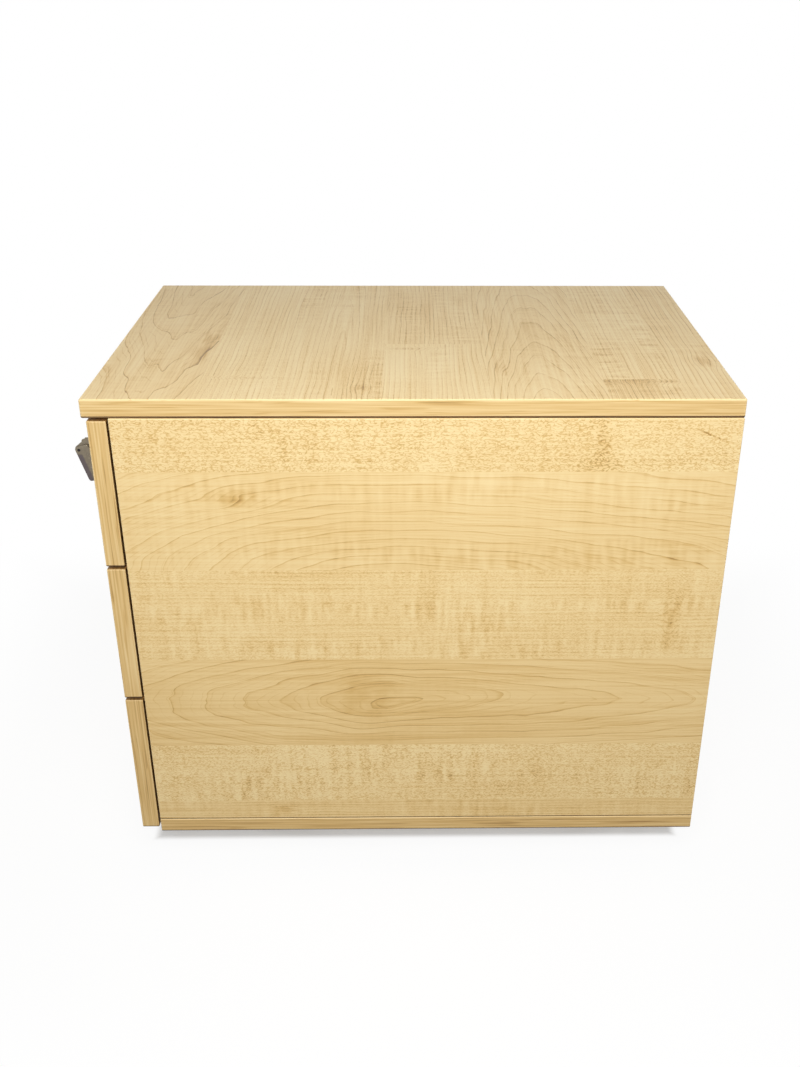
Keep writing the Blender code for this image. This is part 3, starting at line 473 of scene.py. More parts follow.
def cut_plate(outline, low, high, rim, axis):
    """A plate of a closed outline between two levels of an axis, set in on a quarter circle at both rims.

    The outline runs anticlockwise in the two axes that follow, in cyclic order.
    """
    outline = np.asarray(outline, dtype=float)
    turn = np.linspace(0, np.pi / 2, RIM_STEPS + 1)
    depths = rim * (1 - np.sin(turn))
    levels = low + rim * (1 - np.cos(turn))
    depths = np.concatenate([depths, depths[::-1]])
    levels = np.concatenate([levels, (low + high - levels)[::-1]])
    points = np.empty((len(levels), len(outline), 3))
    points[..., axis] = levels[:, None]
    points[..., [(axis + 1) % 3, (axis + 2) % 3]] = [inset(outline, depth) for depth in depths]
    faces = grid_quads(*points.shape[:2])[:, ::-1].tolist()
    last = (len(levels) - 1) * len(outline)
    faces.append(list(range(last, last + len(outline))))
    faces.append(list(range(len(outline)))[::-1])
    return points.reshape(-1, 3), faces


print("a lathe ring has", TURN_STEPS, "steps")

# %% Screw heads
HEAD_ROWS = 10
DOME_FALL = 0.75  # how far a dome falls towards its rim
CROSS_HALF = 0.13  # half the width of a cross's arm, as a share of the radius
CROSS_REACH = 0.62  # and the arm's length
CROSS_DEPTH = 0.55  # as a share of the head's height


def make_screws(name, body, spots, axis, facing, radius, height):
    """Domed heads with a pressed cross at some spots: a disc grid of radius and angle, lifted into a dome.

    The cross lowers the dome where a point lies near either of two lines through the middle.
    """
    share = np.concatenate([np.linspace(0, 1, HEAD_ROWS), [1, 0]])[:, None]
    dome = np.concatenate([np.sqrt(1 - DOME_FALL * share[:HEAD_ROWS] ** 2), [[0], [0]]])
    first = share * np.cos(TURN.T)
    second = share * np.sin(TURN.T)
    near_line = np.minimum(np.abs(first), np.abs(second)) < CROSS_HALF
    pressed = near_line & (share < CROSS_REACH) & (dome > 0)
    lift = height * (dome - CROSS_DEPTH * pressed)
    head = np.zeros((*lift.shape, 3))
    head[..., (axis + 1) % 3] = radius * first
    head[..., (axis + 2) % 3] = radius * second
    head[..., axis] = facing * lift
    quads = grid_quads(*lift.shape)
    skin = weld(head.reshape(-1, 3), quads if facing < 0 else quads[:, ::-1])
    heads = join(*[(skin[0] + np.asarray(spot), skin[1]) for spot in spots])
    make_piece(name, heads, screw_steel, body=body)


print("a screw's dome has", HEAD_ROWS, "rows")


# %% [markdown]
# ## Boards
# The case and the drawer fronts are chipboard with a printed maple facing and a thin edge band. A plain box
# would have knife edges, which no board has. Here each side of the box is a grid whose points are drawn
# onto the rounded form: a point is clamped to a smaller box, and set one radius away from there. The print
# is laid out in planks, so each plank's numbers are stored on its faces, and one finish can read them on
# every board.

# %% Rounded boards
ROUND_STEPS = 4  # steps from the middle of a rounded edge to the flat
HOLD = 0.5 * MM  # strip beside each rounded edge that keeps the flat's shading flat
BOARD_ROUND = 1.0 * MM
TOP_ROUND = 1.6 * MM
BOARD_SHARP = 60
UPRIGHT_SHEEN_AND_WEAR = 0.4  # painted highlight and chips of an upright edge, where one that looks up has 1


def axis_lines(low, high, radius, joints_between):
    """Places along an axis: even turns over both rounded edges, the strips beside them, and plank joints."""
    angles = np.radians(np.linspace(45, 0, ROUND_STEPS + 1))
    turn = radius * (1 - np.tan(angles))
    inner = [place for place in joints_between if low + radius + HOLD < place < high - radius - HOLD]
    flat = [low + radius + HOLD, high - radius - HOLD] + inner
    return np.unique(np.concatenate([low + turn, high - turn, flat]))


def board_side(low, high, radius, lines, axis, outer):
    """Grid of flat points on one side of a box, and where they lie on the rounded box.

    A flat point is clamped to the box that is smaller by the radius all round. The rounded point lies one
    radius from the clamped one, towards the flat one.
    """
    first, second = (axis + 1) % 3, (axis + 2) % 3
    flat = np.empty((len(lines[first]), len(lines[second]), 3))
    flat[..., axis] = high[axis] if outer else low[axis]
    flat[..., first] = lines[first][:, None]
    flat[..., second] = lines[second][None, :]
    inside = np.clip(flat, low + radius, high - radius)
    away = flat - inside
    rounded = inside + radius * away / np.linalg.norm(away, axis=-1, keepdims=True)
    quads = grid_quads(*flat.shape[:2], ring=False)
    return flat.reshape(-1, 3), rounded.reshape(-1, 3), quads if outer else quads[:, ::-1]


def edge_sheen_shade_and_wear(middle, low, high, radius, upright):
    """Painted highlight, shade and chips by face middles: 1 on a rounded edge that looks up, -1 looking down
    or in a joint.
    """
    away = middle - np.clip(middle, low + radius, high - radius)
    rounded_edge = (np.abs(away) > 0).sum(axis=1) > 1
    arris = rounded_edge * np.where(away[:, 2] == 0, UPRIGHT_SHEEN_AND_WEAR, np.sign(away[:, 2]))
    # the foot of an upright face, in the joint with the board below, gets painted shade
    in_joint = (middle[:, 2] < low[2] + radius + HOLD) & upright
    return np.where(in_joint, -1.0, arris)


print("a rounded edge has", 2 * ROUND_STEPS, "steps")

# %% Planks
PLANK_LAYERS = ("plank_tone", "ring_centre", "ring_rate", "mark_place", "mark_rate")
PLANK_SEED = 3.7  # steps between the seeds of planks, faces, bands and their sides
FACE_SEED = 50
BAND_SEED = 20
BAND_AXIS_SEED = 7


@dataclass
class Plank:
    """One plank of the print: its rectangle, its figure, and the centre and pitch of its growth rings."""

    low: float  # across the grain
    high: float
    tint: float = 0.0
    fleck: float = 0.0
    ripple: float = 0.0
    centre: tuple = (0.0, 0.0)  # of the rings, along and across the grain
    pitch: tuple = (900 * MM, 4 * MM)  # between rings, along and across the grain
    start: float = -10.0  # along the grain
    end: float = 10.0
    mark: tuple = (0.0, 0.0, 0.0)  # a tan mark's centre along and across the grain, and its strength
    spread: tuple = (1.0, 1.0)  # of the mark, along and across the grain
    scratched: float = 0.0  # 1 on the plank that has the scratch


def plank_numbers(planks, along, across, seed):
    """Numbers for faces at given places: figure, ring centre and seed, ring rate, mark, and its rate."""
    tone, centre, rate, mark, spread = np.zeros((5, len(along), 3))
    for number, plank in enumerate(planks):
        here = (across > plank.low) & (across < plank.high) & (along > plank.start) & (along < plank.end)
        tone[here] = plank.tint, plank.fleck, plank.ripple
        centre[here] = *plank.centre, seed + PLANK_SEED * number
        rate[here] = 1 / plank.pitch[0], 1 / plank.pitch[1], 0.0
        mark[here] = plank.mark
        spread[here] = 1 / plank.spread[0], 1 / plank.spread[1], plank.scratched
    return tone, centre, rate, mark, spread


def band_numbers(count, seed, tint):
    """The same rows of numbers for faces on a board's edge band."""
    numbers = np.zeros((5, count, 3))
    numbers[0, :, 0] = tint
    numbers[1, :, 2] = seed
    numbers[2, :, 2] = 1.0
    return numbers


print("a plank has", len(PLANK_LAYERS), "rows of numbers")

# %% A board with planks
GAP_SHADE_REACH = 9 * MM  # painted shade in the gaps at the ends of a drawer front


def store(board, label, kind, values):
    """Keep a number, or three, on each face of a board for its finish."""
    layer = board.data.attributes.new(label, kind, "FACE")
    field = "vector" if kind == "FLOAT_VECTOR" else "value"
    layer.data.foreach_set(field, values.astype(np.float32).ravel())


def make_board(
    name, grain, planks, seed, radius=BOARD_ROUND, inner_planks=None, band_tint=0.0, dust=0.0, bold=1.0
):
    """A rounded board in place of a node, with its print's numbers on its faces.

    The inner planks, if there are any, go on the face that looks into the case. Painted shade of the gaps,
    by the share in dust, lies at the ends of the upper edge.
    """
    low, high = (np.array(corner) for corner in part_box(name))
    thin = int(np.argmin(high - low))
    across = 3 - thin - grain
    case_beyond = low[thin] + high[thin] < solid_box[0][thin] + solid_box[1][thin]
    between = {thin: [], grain: [], across: []}
    for plank in planks + (inner_planks or []):
        between[grain] += [plank.start, plank.end]
        between[across] += [plank.low, plank.high]
    lines = [axis_lines(low[axis], high[axis], radius, between[axis]) for axis in range(3)]
    points, faces, places, numbers, arrises = [], [], [], [], []
    for axis in range(3):
        for outer in (True, False):
            flat, rounded, quads = board_side(low, high, radius, lines, axis, outer)
            faces.append(quads + sum(len(part) for part in points))
            points.append(rounded)
            middle = flat[quads].mean(axis=1)
            if axis == thin:
                sheet = inner_planks if inner_planks and outer == case_beyond else planks
                face_seed = seed + FACE_SEED * outer
                numbers.append(plank_numbers(sheet, middle[:, grain], middle[:, across], face_seed))
                places.append(flat[quads][..., [grain, across]].reshape(-1, 2))
            else:
                from_end = np.minimum(middle[:, grain] - low[grain], high[grain] - middle[:, grain])
                # painted shade of the gaps at both ends of the upper edge
                tint = band_tint + dust * ((from_end < GAP_SHADE_REACH) & (axis == Z_AXIS) & outer)
                band_seed = seed + BAND_SEED + BAND_AXIS_SEED * axis + outer
                numbers.append(band_numbers(len(quads), band_seed, tint))
                places.append(flat[quads][..., [3 - thin - axis, thin]].reshape(-1, 2))
            arrises.append(edge_sheen_shade_and_wear(middle, low, high, radius, axis != Z_AXIS))
    skin = weld(np.concatenate(points), np.concatenate(faces))
    board = make_piece(f"{name}_board", skin, maple, name, sharp=BOARD_SHARP)
    grain_map = board.data.uv_layers.new(name="grain")
    grain_map.uv.foreach_set("vector", np.concatenate(places).astype(np.float32).ravel())
    for label, values in zip(PLANK_LAYERS, np.concatenate(numbers, axis=1)):
        store(board, label, "FLOAT_VECTOR", values)
    store(board, "arris", "FLOAT", np.concatenate(arrises))
    store(board, "bold", "FLOAT", np.full(len(skin[1]), bold))
    print(board.name, len(skin[1]), "quads,", len(planks), "planks")


# the dust in this print is painted shade of the gaps
print("dust lies within", round(GAP_SHADE_REACH / MM), "mm of a front's ends")


# %% [markdown]
# ## Maple facing
# The print shows pale maple: growth rings as thin tan lines, oval where a plank was cut through the heart
# of the tree, short wavy flecks and cross ripples in other planks, and fine pores everywhere. A photograph
# of wood would repeat and can't be changed, so the print is drawn by formula. Everything is added up as one
# tone, from cream to brown, and a row of colours turns the tone into maple.

# %% Numbers of the print
SCRATCH_START = (267 * MM, 512 * MM)  # on the right side, as depth and height
SCRATCH_WAY = (math.cos(math.radians(-22)), math.sin(math.radians(-22)))
SCRATCH_LENGTH = 36 * MM
SCRATCH_FADE = (4 * MM, 8 * MM)  # at its two ends
SCRATCH_WANDER = 3 * MM
SCRATCH_HALF = (0.3 * MM, 1.1 * MM)  # half its width, fully dark and with the soft edge
BAND_GREY = linear(180, 184, 184)
WOOD_STOPS = [
    (0.0, linear(250, 225, 170)),  # cream
    (0.175, linear(241, 210, 150)),  # straw
    (0.34, linear(221, 183, 115)),  # tan
    (0.5, linear(168, 128, 68)),  # brown
    (1.0, linear(66, 38, 8)),  # painted shade of joints and gaps
]
LATE_WOOD = 1.15 * MM  # width of a ring's dark line
FINE_WOOD = 0.9 * MM  # width of the lines between
FINE_LINES = 3.3  # of them in a ring
TAPER = 0.35  # how much closer or wider rings lie on the two sides of a heart
FACE_TONE = 0.28
BAND_TONE = 0.53
PATTERN_MEAN = 0.12  # tone that the pattern adds on the whole
# the last colour is painted shade of joints and gaps
print(len(WOOD_STOPS), "colours from cream to grime")

# %% Maple
class MapleFacing(Finish):
    """The maple print. Each part of the pattern is a share of one tone, from cream through tan to painted
    shade.
    """

    def __init__(self):
        super().__init__("maple_facing")
        self.along, self.across, _ = self.parts(self.node("ShaderNodeUVMap", {"uv_map": "grain"}))
        layers = [self.layer(name, 1) for name in PLANK_LAYERS]
        self.tint, self.fleck, self.ripple = self.parts(layers[0])
        self.heart, self.level, self.seed = self.parts(layers[1])
        self.rate_along, self.rate_across, self.band = self.parts(layers[2])
        self.mark_along, self.mark_across, self.mark_strength = self.parts(layers[3])
        self.fade_along, self.fade_across, self.scratched = self.parts(layers[4])
        self.arris = self.layer("arris", 2)
        self.bold = self.layer("bold", 2)
        self.place = self.point(self.along, self.across)

    def layer(self, name, output):
        """A number, or three numbers, that a board stores on its faces."""
        return self.node("ShaderNodeAttribute", {"attribute_name": name}, output=output)

    def point(self, first, second):
        """A point for noise: two numbers and the plank's own seed."""
        return self.node("ShaderNodeCombineXYZ", None, {0: first, 1: second, 2: self.seed})

    def grain(self, along, across, detail=2.0, distortion=0.0):
        """Noise about zero, with so many grains a metre along and across the plank."""
        return self.noise(self.place, (along, across, 1.0), detail, distortion) - 0.5

    def knot(self):
        """The share by which rings make way for the knot, and its tan stain, which has a ragged edge."""
        ahead = (self.along - self.mark_along) * self.fade_along
        aside = (self.across - self.mark_across) * self.fade_across
        far = (ahead ** 2.0 + aside ** 2.0).root()
        ragged = self.noise(self.point(ahead, aside), (1.6, 1.6, 1.0), 3.0) - 0.5
        pull = (1 - far.ease(0.0, 1.8)) * self.mark_strength * 2.6
        stain = (1 - (far + ragged * 2.2).ease(-0.3, 1.3)) * self.mark_strength * 1.1
        return pull, stain

    def growth_rings(self, pull):
        """Thin lines where rings end, at whole numbers of a count from the heart that wanders slowly.

        What a count lacks to the next whole number, over the rings in a metre, is the distance to that line.
        A trunk tapers, so rings lie closer on one side of the heart. Near a knot the places across the grain
        are drawn towards it before the count, which parts the lines round it.
        """
        ahead = (self.along - self.heart) * self.rate_along
        ahead = ahead - (ahead ** 2.0 + 1.0).root() * TAPER
        parted = self.across - (self.across - self.mark_across) * pull
        aside = (parted - self.level) * self.rate_across
        reach = (ahead ** 2.0 + aside ** 2.0 + 0.04).root()
        slope = ((ahead * self.rate_along) ** 2.0 + (aside * self.rate_across) ** 2.0).root()
        steep = slope / reach + 25.0
        count = reach + self.grain(4.5, 15.0) * 2.6 + self.grain(15.0, 50.0) * 0.8
        ring = count.fraction()
        weight = self.grain(10.0, 60.0, 1.0).ease(-0.2, 0.2)
        line = 1 - ((1 - ring) / steep).ease(0.0, LATE_WOOD)
        fine_ring = (count * FINE_LINES).fraction()
        between = 1 - ((1 - fine_ring) / (steep * FINE_LINES)).ease(0.0, FINE_WOOD)
        late = line * (0.10 + weight * 0.26) + ring ** 3.0 * 0.10
        return (late + between * (1.2 - weight) * 0.17) * (1 - self.fleck * 0.75)

    def figure(self):
        """Wavy flecks, drawn where noise passes through zero, and bars and sheen across the grain."""
        patch = self.grain(8.0, 24.0).ease(-0.16, 0.16)
        worm = 1 - self.grain(270.0, 600.0, 0.5, 0.4).size().ease(0.0, 0.12)
        flecks = (worm - 0.5) * self.fleck * (0.85 + patch * 0.25) * 0.46
        row = self.grain(5.0, 30.0, 1.0).ease(-0.06, 0.12)
        bars = self.grain(170.0, 38.0, 0.5) * row
        sheen = self.grain(120.0, 8.0) * patch
        return flecks + (bars + sheen) * self.ripple * 0.7

    def edge_band(self, cloud):
        """Straight thin lines and darker veins of the band glued to an edge."""
        lines = self.grain(9.0, 620.0, 3.0)
        veins = self.grain(14.0, 300.0, 1.0, 0.6).ease(0.05, 0.22)
        return BAND_TONE + self.tint + lines * 1.15 + veins * 0.2 + cloud * 0.25

    def wear(self):
        """Painted highlight on edges that look up, painted shade on edges that look down and in joints, and
        small chips.
        """
        # rubbed is a painted highlight on the rounded edges that look up
        rubbed = self.arris.ease(0.0, 1.0) * 0.24
        shade_and_grime = (self.arris * -1.0).ease(0.0, 1.0) * 1.15
        chips = self.arris.size() * self.grain(45.0, 300.0).ease(0.16, 0.22)
        return shade_and_grime - rubbed + chips * 0.4

    def scratch(self):
        """One scratch: near a straight line, between its two ends."""
        ahead = self.along - SCRATCH_START[0]
        aside = self.across - SCRATCH_START[1]
        beyond = ahead * SCRATCH_WAY[0] + aside * SCRATCH_WAY[1]
        wander = self.grain(15.0, 50.0) * SCRATCH_WANDER
        beside = aside * SCRATCH_WAY[0] - ahead * SCRATCH_WAY[1] + wander
        fades = beyond.ease(SCRATCH_LENGTH - SCRATCH_FADE[1], SCRATCH_LENGTH)
        in_length = beyond.ease(0.0, SCRATCH_FADE[0]) * (1 - fades)
        return self.scratched * in_length * (1 - beside.size().ease(*SCRATCH_HALF))

    def dress(self):
        """Add the shares up on the face and on the band, and feed the shader."""
        pull, stain = self.knot()
        streak = self.grain(6.0, 430.0, 3.0)
        cloud = self.grain(6.0, 12.0, 3.0)
        pores = self.grain(160.0, 1500.0, 1.0).ease(0.08, 0.22)
        pattern = stain + self.growth_rings(pull) + self.figure()
        pattern = pattern + streak * 0.62 + cloud * 0.40 + pores * 0.08
        face = FACE_TONE + self.tint + (pattern - PATTERN_MEAN) * self.bold + PATTERN_MEAN
        tone = face + (self.edge_band(cloud) - face) * self.band
        # wear() adds painted highlight and shade on edges and in joints, and chips
        wood = self.ramp((tone + self.wear() + self.scratch() * 0.45) * 0.5, WOOD_STOPS)
        return self.set(
            Base_Color=self.mix(self.band * 0.03, wood, BAND_GREY),
            Roughness=0.40 + streak * 0.08 + cloud * 0.06,
            Specular_IOR_Level=0.4,
            Normal=self.bump(tone * -1.0 + pores * -0.6, 0.10, 0.2 * MM),
        )


maple = MapleFacing().dress()
print("maple facing has", len(maple.node_tree.nodes), "nodes")


# %% [markdown]
# ## The planks of each board
# The side's planks run from front to back, and the top's run across, with butt joints where one plank ends
# and the next starts. Their joints, and the centres of their rings, are placed as in the photograph on the
# side and the top. The other boards are cut from the same print, so they repeat its plank widths in another
# order.

# %% Planks seen in the photograph
top_low, top_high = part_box("top_panel")
FRONT = top_low.y  # front edge of the top
NEAR = top_high.x  # its edge on the camera's side


def plank(origin, low, high, figure, centre, pitch, mark=(0, 0, 0), spread=(1000, 1000), **others):
    """A plank in millimetres from an origin along and across the grain: figure is tint, flecks, ripples."""
    along, across = origin
    return Plank(
        (across + low) * MM,
        (across + high) * MM,
        *figure,
        centre=((along + centre[0]) * MM, (across + centre[1]) * MM),
        pitch=(pitch[0] * MM, pitch[1] * MM),
        mark=((along + mark[0]) * MM, (across + mark[1]) * MM, mark[2]),
        spread=(spread[0] * MM, spread[1] * MM),
        **others,
    )


on_side = functools.partial(plank, (FRONT / MM, 0))
SIDE_PLANKS = [  # from the base up
    on_side(0, 88, (0.08, 0.35, 0.6), (0, -40), (1200, 3.6), (160, 76, 0.25), (14, 6)),
    on_side(88, 160.5, (0.07, 1.1, 1.2), (0, 20), (1500, 6), (430, 118, 0.15), (90, 26)),
    on_side(160.5, 265.5, (0.11, 0.0, 0.1), (258, 217), (47, 9), (250, 222, 0.2), (36, 30)),
    on_side(265.5, 367, (0.01, 0.6, 1.1), (900, 180), (1400, 4.2), (552, 312, 0.30), (9, 40)),
    on_side(367, 469.5, (0.0, 0.0, 0.6), (252, 343), (31, 9.5), (135, 442, 0.26), (26, 11)),
    on_side(469.5, 999, (0.045, 1.1, 0.45), (700, 420), (1500, 6), (468, 498, 0.22), (26, 80), scratched=1),
]
on_top = functools.partial(plank, (NEAR / MM, FRONT / MM))
TOP_PLANKS = [  # from the front to the back
    on_top(-999, 100, (0.06, 0.0, 0.3), (-950, 50), (62, 7.8), (-150, 90, 0.3), (70, 16)),
    on_top(100, 171, (-0.08, 0.3, 0.2), (0, 20), (2000, 4.5), (-60, 150, 0.12), (5, 30)),
    on_top(171, 270, (0.02, 0.3, 0.6), (-90, 225), (160, 5.2), (-30, 252, 0.2), (14, 10)),
    on_top(270, 370, (0.06, 0.3, 0.5), (0, 520), (1800, 5), end=35 * MM),
    on_top(270, 370, (-0.08, 0.3, 0.5), (0, 200), (1500, 5), (-150, 292, 0.2), (5, 24), start=35 * MM),
    on_top(370, 477, (0.03, 0.1, 0.3), (560, 422), (78, 4.4), (-90, 384, 0.16), (40, 12)),
    on_top(477, 549, (-0.05, 0.3, 0.9), (0, 800), (1500, 5), end=145 * MM),
    on_top(477, 549, (0.06, 0.2, 0.8), (0, 400), (1500, 5), (-50, 505, 0.15), (8, 40), start=145 * MM),
    on_top(549, 999, (0.03, 0.1, 0.5), (-300, 640), (400, 5), (-110, 584, 0.24), (22, 12)),
]
print(len(SIDE_PLANKS), "planks on the side,", len(TOP_PLANKS), "on the top")

# %% Case and drawer fronts
WIDE = 103 * MM  # widths of the other boards' planks
NARROW = 72 * MM
FIGURES = (  # tint, flecks, ripples, level and pitch of the rings
    (0.02, 0.9, 0.4, 160 * MM, (1500 * MM, 6 * MM)),
    (0.05, 0.0, 0.15, 45 * MM, (90 * MM, 7.5 * MM)),
    (0.0, 0.35, 0.6, -140 * MM, (1300 * MM, 4 * MM)),
    (0.08, 0.0, 0.1, -35 * MM, (70 * MM, 7.8 * MM)),
)
RING_STEP, RING_SPAN = 137, 300  # ring centres go on by so many millimetres and start again
GAP_SHADE = 1.3  # painted shade: its share of the tone behind the ends of a drawer front
EDGE_GAP_SHADE = 0.75  # and of the painted shade above them, on the upper edge
FRONT_BANDS = {"upper": 0.04, "middle": 0.04, "lower": 0.11}  # tints of the fronts' edge bands; the lower one is darker, painted shade near the floor
FRONT_SHIFT = 30 * MM  # planks start so much lower on each next front
FRONT_SEED = 611.0
FRONT_SEED_STEP = 97


def other_planks(low, high, start, turn):
    """Planks between two bounds, wide and narrow by turns, that take the print's figures in order."""
    planks = []
    while low < high:
        step = NARROW if turn % 3 == 0 else WIDE
        tint, fleck, ripple, level, pitch = FIGURES[turn % len(FIGURES)]
        centre = (start + (turn * RING_STEP % RING_SPAN) * MM, low + level)
        planks.append(Plank(low, low + step, tint, fleck, ripple, centre, pitch))
        low += step
        turn += 1
    return planks


make_board("side_panel_right", Y_AXIS, SIDE_PLANKS, seed=11.0)
make_board("side_panel_left", Y_AXIS, other_planks(-20 * MM, 0.6, FRONT, turn=2), seed=131.0)
make_board("top_panel", X_AXIS, TOP_PLANKS, seed=251.0, radius=TOP_ROUND, bold=1.4)
make_board("back_panel", X_AXIS, other_planks(0.0, 0.6, -0.2, turn=1), seed=373.0)
base_planks = other_planks(-0.25, 0.25, FRONT, turn=3)
# the base's edge band is tinted darker, painted shade near the floor
make_board("base_panel", Y_AXIS, base_planks, seed=491.0, band_tint=0.12)
for number, level in enumerate(LEVELS):
    name = f"drawer_front_{level}"
    low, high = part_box(name)
    planks = other_planks(low.z - FRONT_SHIFT * (number + 1), high.z, -0.18, number + 1)
    # dark planks at both ends of the inner face: painted shade behind the gaps
    near = Plank(low.z, high.z, GAP_SHADE, start=high.x - GAP_SHADE_REACH)
    far = Plank(low.z, high.z, GAP_SHADE, end=low.x + GAP_SHADE_REACH)
    make_board(
        name,
        X_AXIS,
        planks,
        seed=FRONT_SEED + FRONT_SEED_STEP * number,
        inner_planks=planks + [near, far],
        band_tint=FRONT_BANDS[level],
        dust=EDGE_GAP_SHADE,
    )


# %% [markdown]
# ## Metal and plastic finishes
# Drawer sides and runners are powder-coated steel, handles satin nickel, castor steel zinc-plated, wheels
# and rollers moulded nylon. Each of them is told apart by how it was made: the coat's orange peel, the
# nickel's brush lines, the zinc's crystals, the mould's fine grain. Those marks go into colour, roughness
# and a small bump.

# %% Finishes
def finish(write):
    """Make the material that a function writes as sockets, under the function's name."""
    f = Finish(write.__name__)
    return f.set(**write(f))


@finish
def powder_coat(f):
    """Light grey paint: orange peel of about a millimetre, and rubbed lines along the drawer's travel."""
    peel = f.speckle(900)
    dust = f.speckle(30, detail=4.0)
    rubbed = f.speckle(700, (0.5, 0.006, 1.0)).ease(0.62, 0.74) * dust.ease(0.35, 0.6)
    return dict(
        Base_Color=f.two_tone(dust * 0.5 + rubbed * 0.5, (206, 208, 208), (178, 180, 180)),
        Roughness=0.36 + peel * 0.10 + rubbed * 0.12,
        Normal=f.bump(peel, 0.12, 0.2 * MM),
    )


@finish
def satin_nickel(f):
    """Nickel brushed along the bar, with faint finger marks."""
    brush = f.speckle(1600, (0.02, 1.0, 1.0))
    touch = f.speckle(45, detail=3.0).ease(0.45, 0.75)
    return dict(
        Base_Color=f.two_tone(brush * 0.7 + touch * 0.3, (184, 180, 172), (150, 145, 137)),
        Metallic=1.0,
        Roughness=0.22 + brush * 0.14 + touch * 0.08,
        Normal=f.bump(brush, 0.06, 0.1 * MM),
    )


@finish
def zinc_plate(f):
    """Zinc plating: crystals of a few millimetres, bluish and yellowish by turns, dulled by dust."""
    inputs = {"Vector": f.own_place(), "Scale": 260.0}
    crystal, warmth, _ = f.parts(f.node("ShaderNodeTexVoronoi", None, inputs, output=1))
    dust = f.speckle(60, detail=4.0).ease(0.4, 0.75)
    plated = f.two_tone(warmth, (176, 182, 190), (190, 187, 174))
    return dict(
        Base_Color=f.mix(dust * 0.6, plated, linear(142, 138, 130)),
        Metallic=1.0 - dust * 0.35,
        Roughness=0.30 + crystal * 0.12 + dust * 0.2,
        Normal=f.bump(crystal, 0.03, 0.1 * MM),
    )


@finish
def wheel_nylon(f):
    """Black nylon: mould grain, grey floor dust, and hair-fine scuffs."""
    mould = f.speckle(2200)
    dust = f.speckle(120, detail=4.0).ease(0.48, 0.78)
    scuff = f.speckle(900, (0.08, 1.0, 1.0)).ease(0.66, 0.76)
    return dict(
        Base_Color=f.two_tone(dust * 0.55 + scuff * 0.25, (34, 34, 36), (92, 90, 86)),
        Roughness=0.42 + dust * 0.25 + mould * 0.06,
        Normal=f.bump(mould + scuff * 0.5, 0.10, 0.1 * MM),
    )


@finish
def roller_nylon(f):
    """Off-white nylon, a little yellow with age, with grey wear from the steel track."""
    mould = f.speckle(2000)
    age = f.speckle(90, detail=3.0)
    wear = f.speckle(1100, (1.0, 0.15, 0.15)).ease(0.6, 0.75)
    return dict(
        Base_Color=f.two_tone(age * 0.6 + wear * 0.35, (232, 230, 222), (196, 190, 174)),
        Roughness=0.38 + mould * 0.10 + wear * 0.1,
        Normal=f.bump(mould, 0.08, 0.1 * MM),
    )


@finish
def screw_steel(f):
    """Zinc screws with turned lines and a little dirt."""
    spin = f.speckle(2600)
    dirt = f.speckle(400, detail=3.0).ease(0.5, 0.8)
    return dict(
        Base_Color=f.two_tone(dirt, (178, 180, 182), (112, 108, 100)),
        Metallic=1.0 - dirt * 0.5,
        Roughness=0.28 + spin * 0.12 + dirt * 0.2,
        Normal=f.bump(spin, 0.05, 0.05 * MM),
    )


def coat(node, material):
    """Give a solid that keeps its shape a finish."""
    nodes[node].data.materials.clear()
    nodes[node].data.materials.append(material)


NODE_FINISH = {"coated_steel": powder_coat, "castor_steel": zinc_plate, "white_nylon": roller_nylon}
for row in frame["record"]["subparts"]:
    if row["material_slot"] in NODE_FINISH:
        coat(row["node"], NODE_FINISH[row["material_slot"]])
print(len(NODE_FINISH), "finishes on solids that keep their shape")


# %% [markdown]
# ## Handles and their screws
# A bow handle is one round bar, bent twice. It is drawn as a ring carried along the bar's middle line, a
# straight leg, a quarter circle and a straight grip, because that is how the bar is bent. Two screws hold
# it from inside.

# %% Handles
BEND = 13 * MM
BEND_STEPS = 14
HANDLE_LEG = 4 * MM  # straight part of a leg at the drawer front
HANDLE_SCREW = (4.2 * MM, 2.2 * MM)  # radius and height of a head


def make_handle(level):
    """A bow handle in place of its node, and its two screws behind the drawer front."""
    node = f"handle_{level}"
    low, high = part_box(node)
    front_low, front_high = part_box(f"drawer_front_{level}")
    bar = (high.z - low.z) / 2
    half = high.x - bar
    crest = low.y + bar
    middle = midway(low, high)[2]
    turn = np.linspace(0, np.pi / 2, BEND_STEPS)
    x = np.concatenate([[half, half], half - BEND + BEND * np.cos(turn)])
    y = np.concatenate([[front_low.y, front_low.y - HANDLE_LEG], crest + BEND - BEND * np.sin(turn)])
    x = np.concatenate([x, -x[::-1]])
    y = np.concatenate([y, y[::-1]])
    path = np.stack([x, y, np.full_like(x, middle)], axis=1)
    bow = make_piece(f"handle_bow_{level}", bent_bar(path, bar), satin_nickel, node)
    spots = [(sign * half, front_high.y, middle) for sign in SIDES.values()]
    make_screws(f"handle_screws_{level}", f"drawer_{level}", spots, Y_AXIS, 1, *HANDLE_SCREW)
    print(bow.name, len(bow.data.polygons), "faces")


for level in LEVELS:
    make_handle(level)


# %% [markdown]
# ## Lock and folding key
# The lock shows a thin rosette with the end of its barrel. The key is two flat pressings: a stepped shank
# with the blade, and a bow of two cheeks that hangs from a pin and leans on the drawer front. The metal
# is a dark grey, a painted reflection of a darker room, with painted shade along the bow's outer edge.

# %% Metals of the lock and key
barrel_low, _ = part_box("lock_barrel")
housing_low, housing_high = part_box("lock_housing")
blade_low, blade_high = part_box("key_blade")
bow_low, bow_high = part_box("key_bow")
LOCK_X, _, LOCK_Z = midway(housing_low, housing_high)
FRONT_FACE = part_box("drawer_front_upper")[0].y
KNUCKLE = 3.6 * MM
PIN_Y = blade_low.y + KNUCKLE
PIN_Z = LOCK_Z - 5 * MM
BOW_LEAN = math.radians(17)
EDGE_SHADE_BELOW = (-6 * MM, -3 * MM)  # the painted shade comes in between these heights under the pin
EDGE_SHADE_INWARDS = (0.4 * MM, 2.2 * MM)  # and fades out between these distances inwards of it
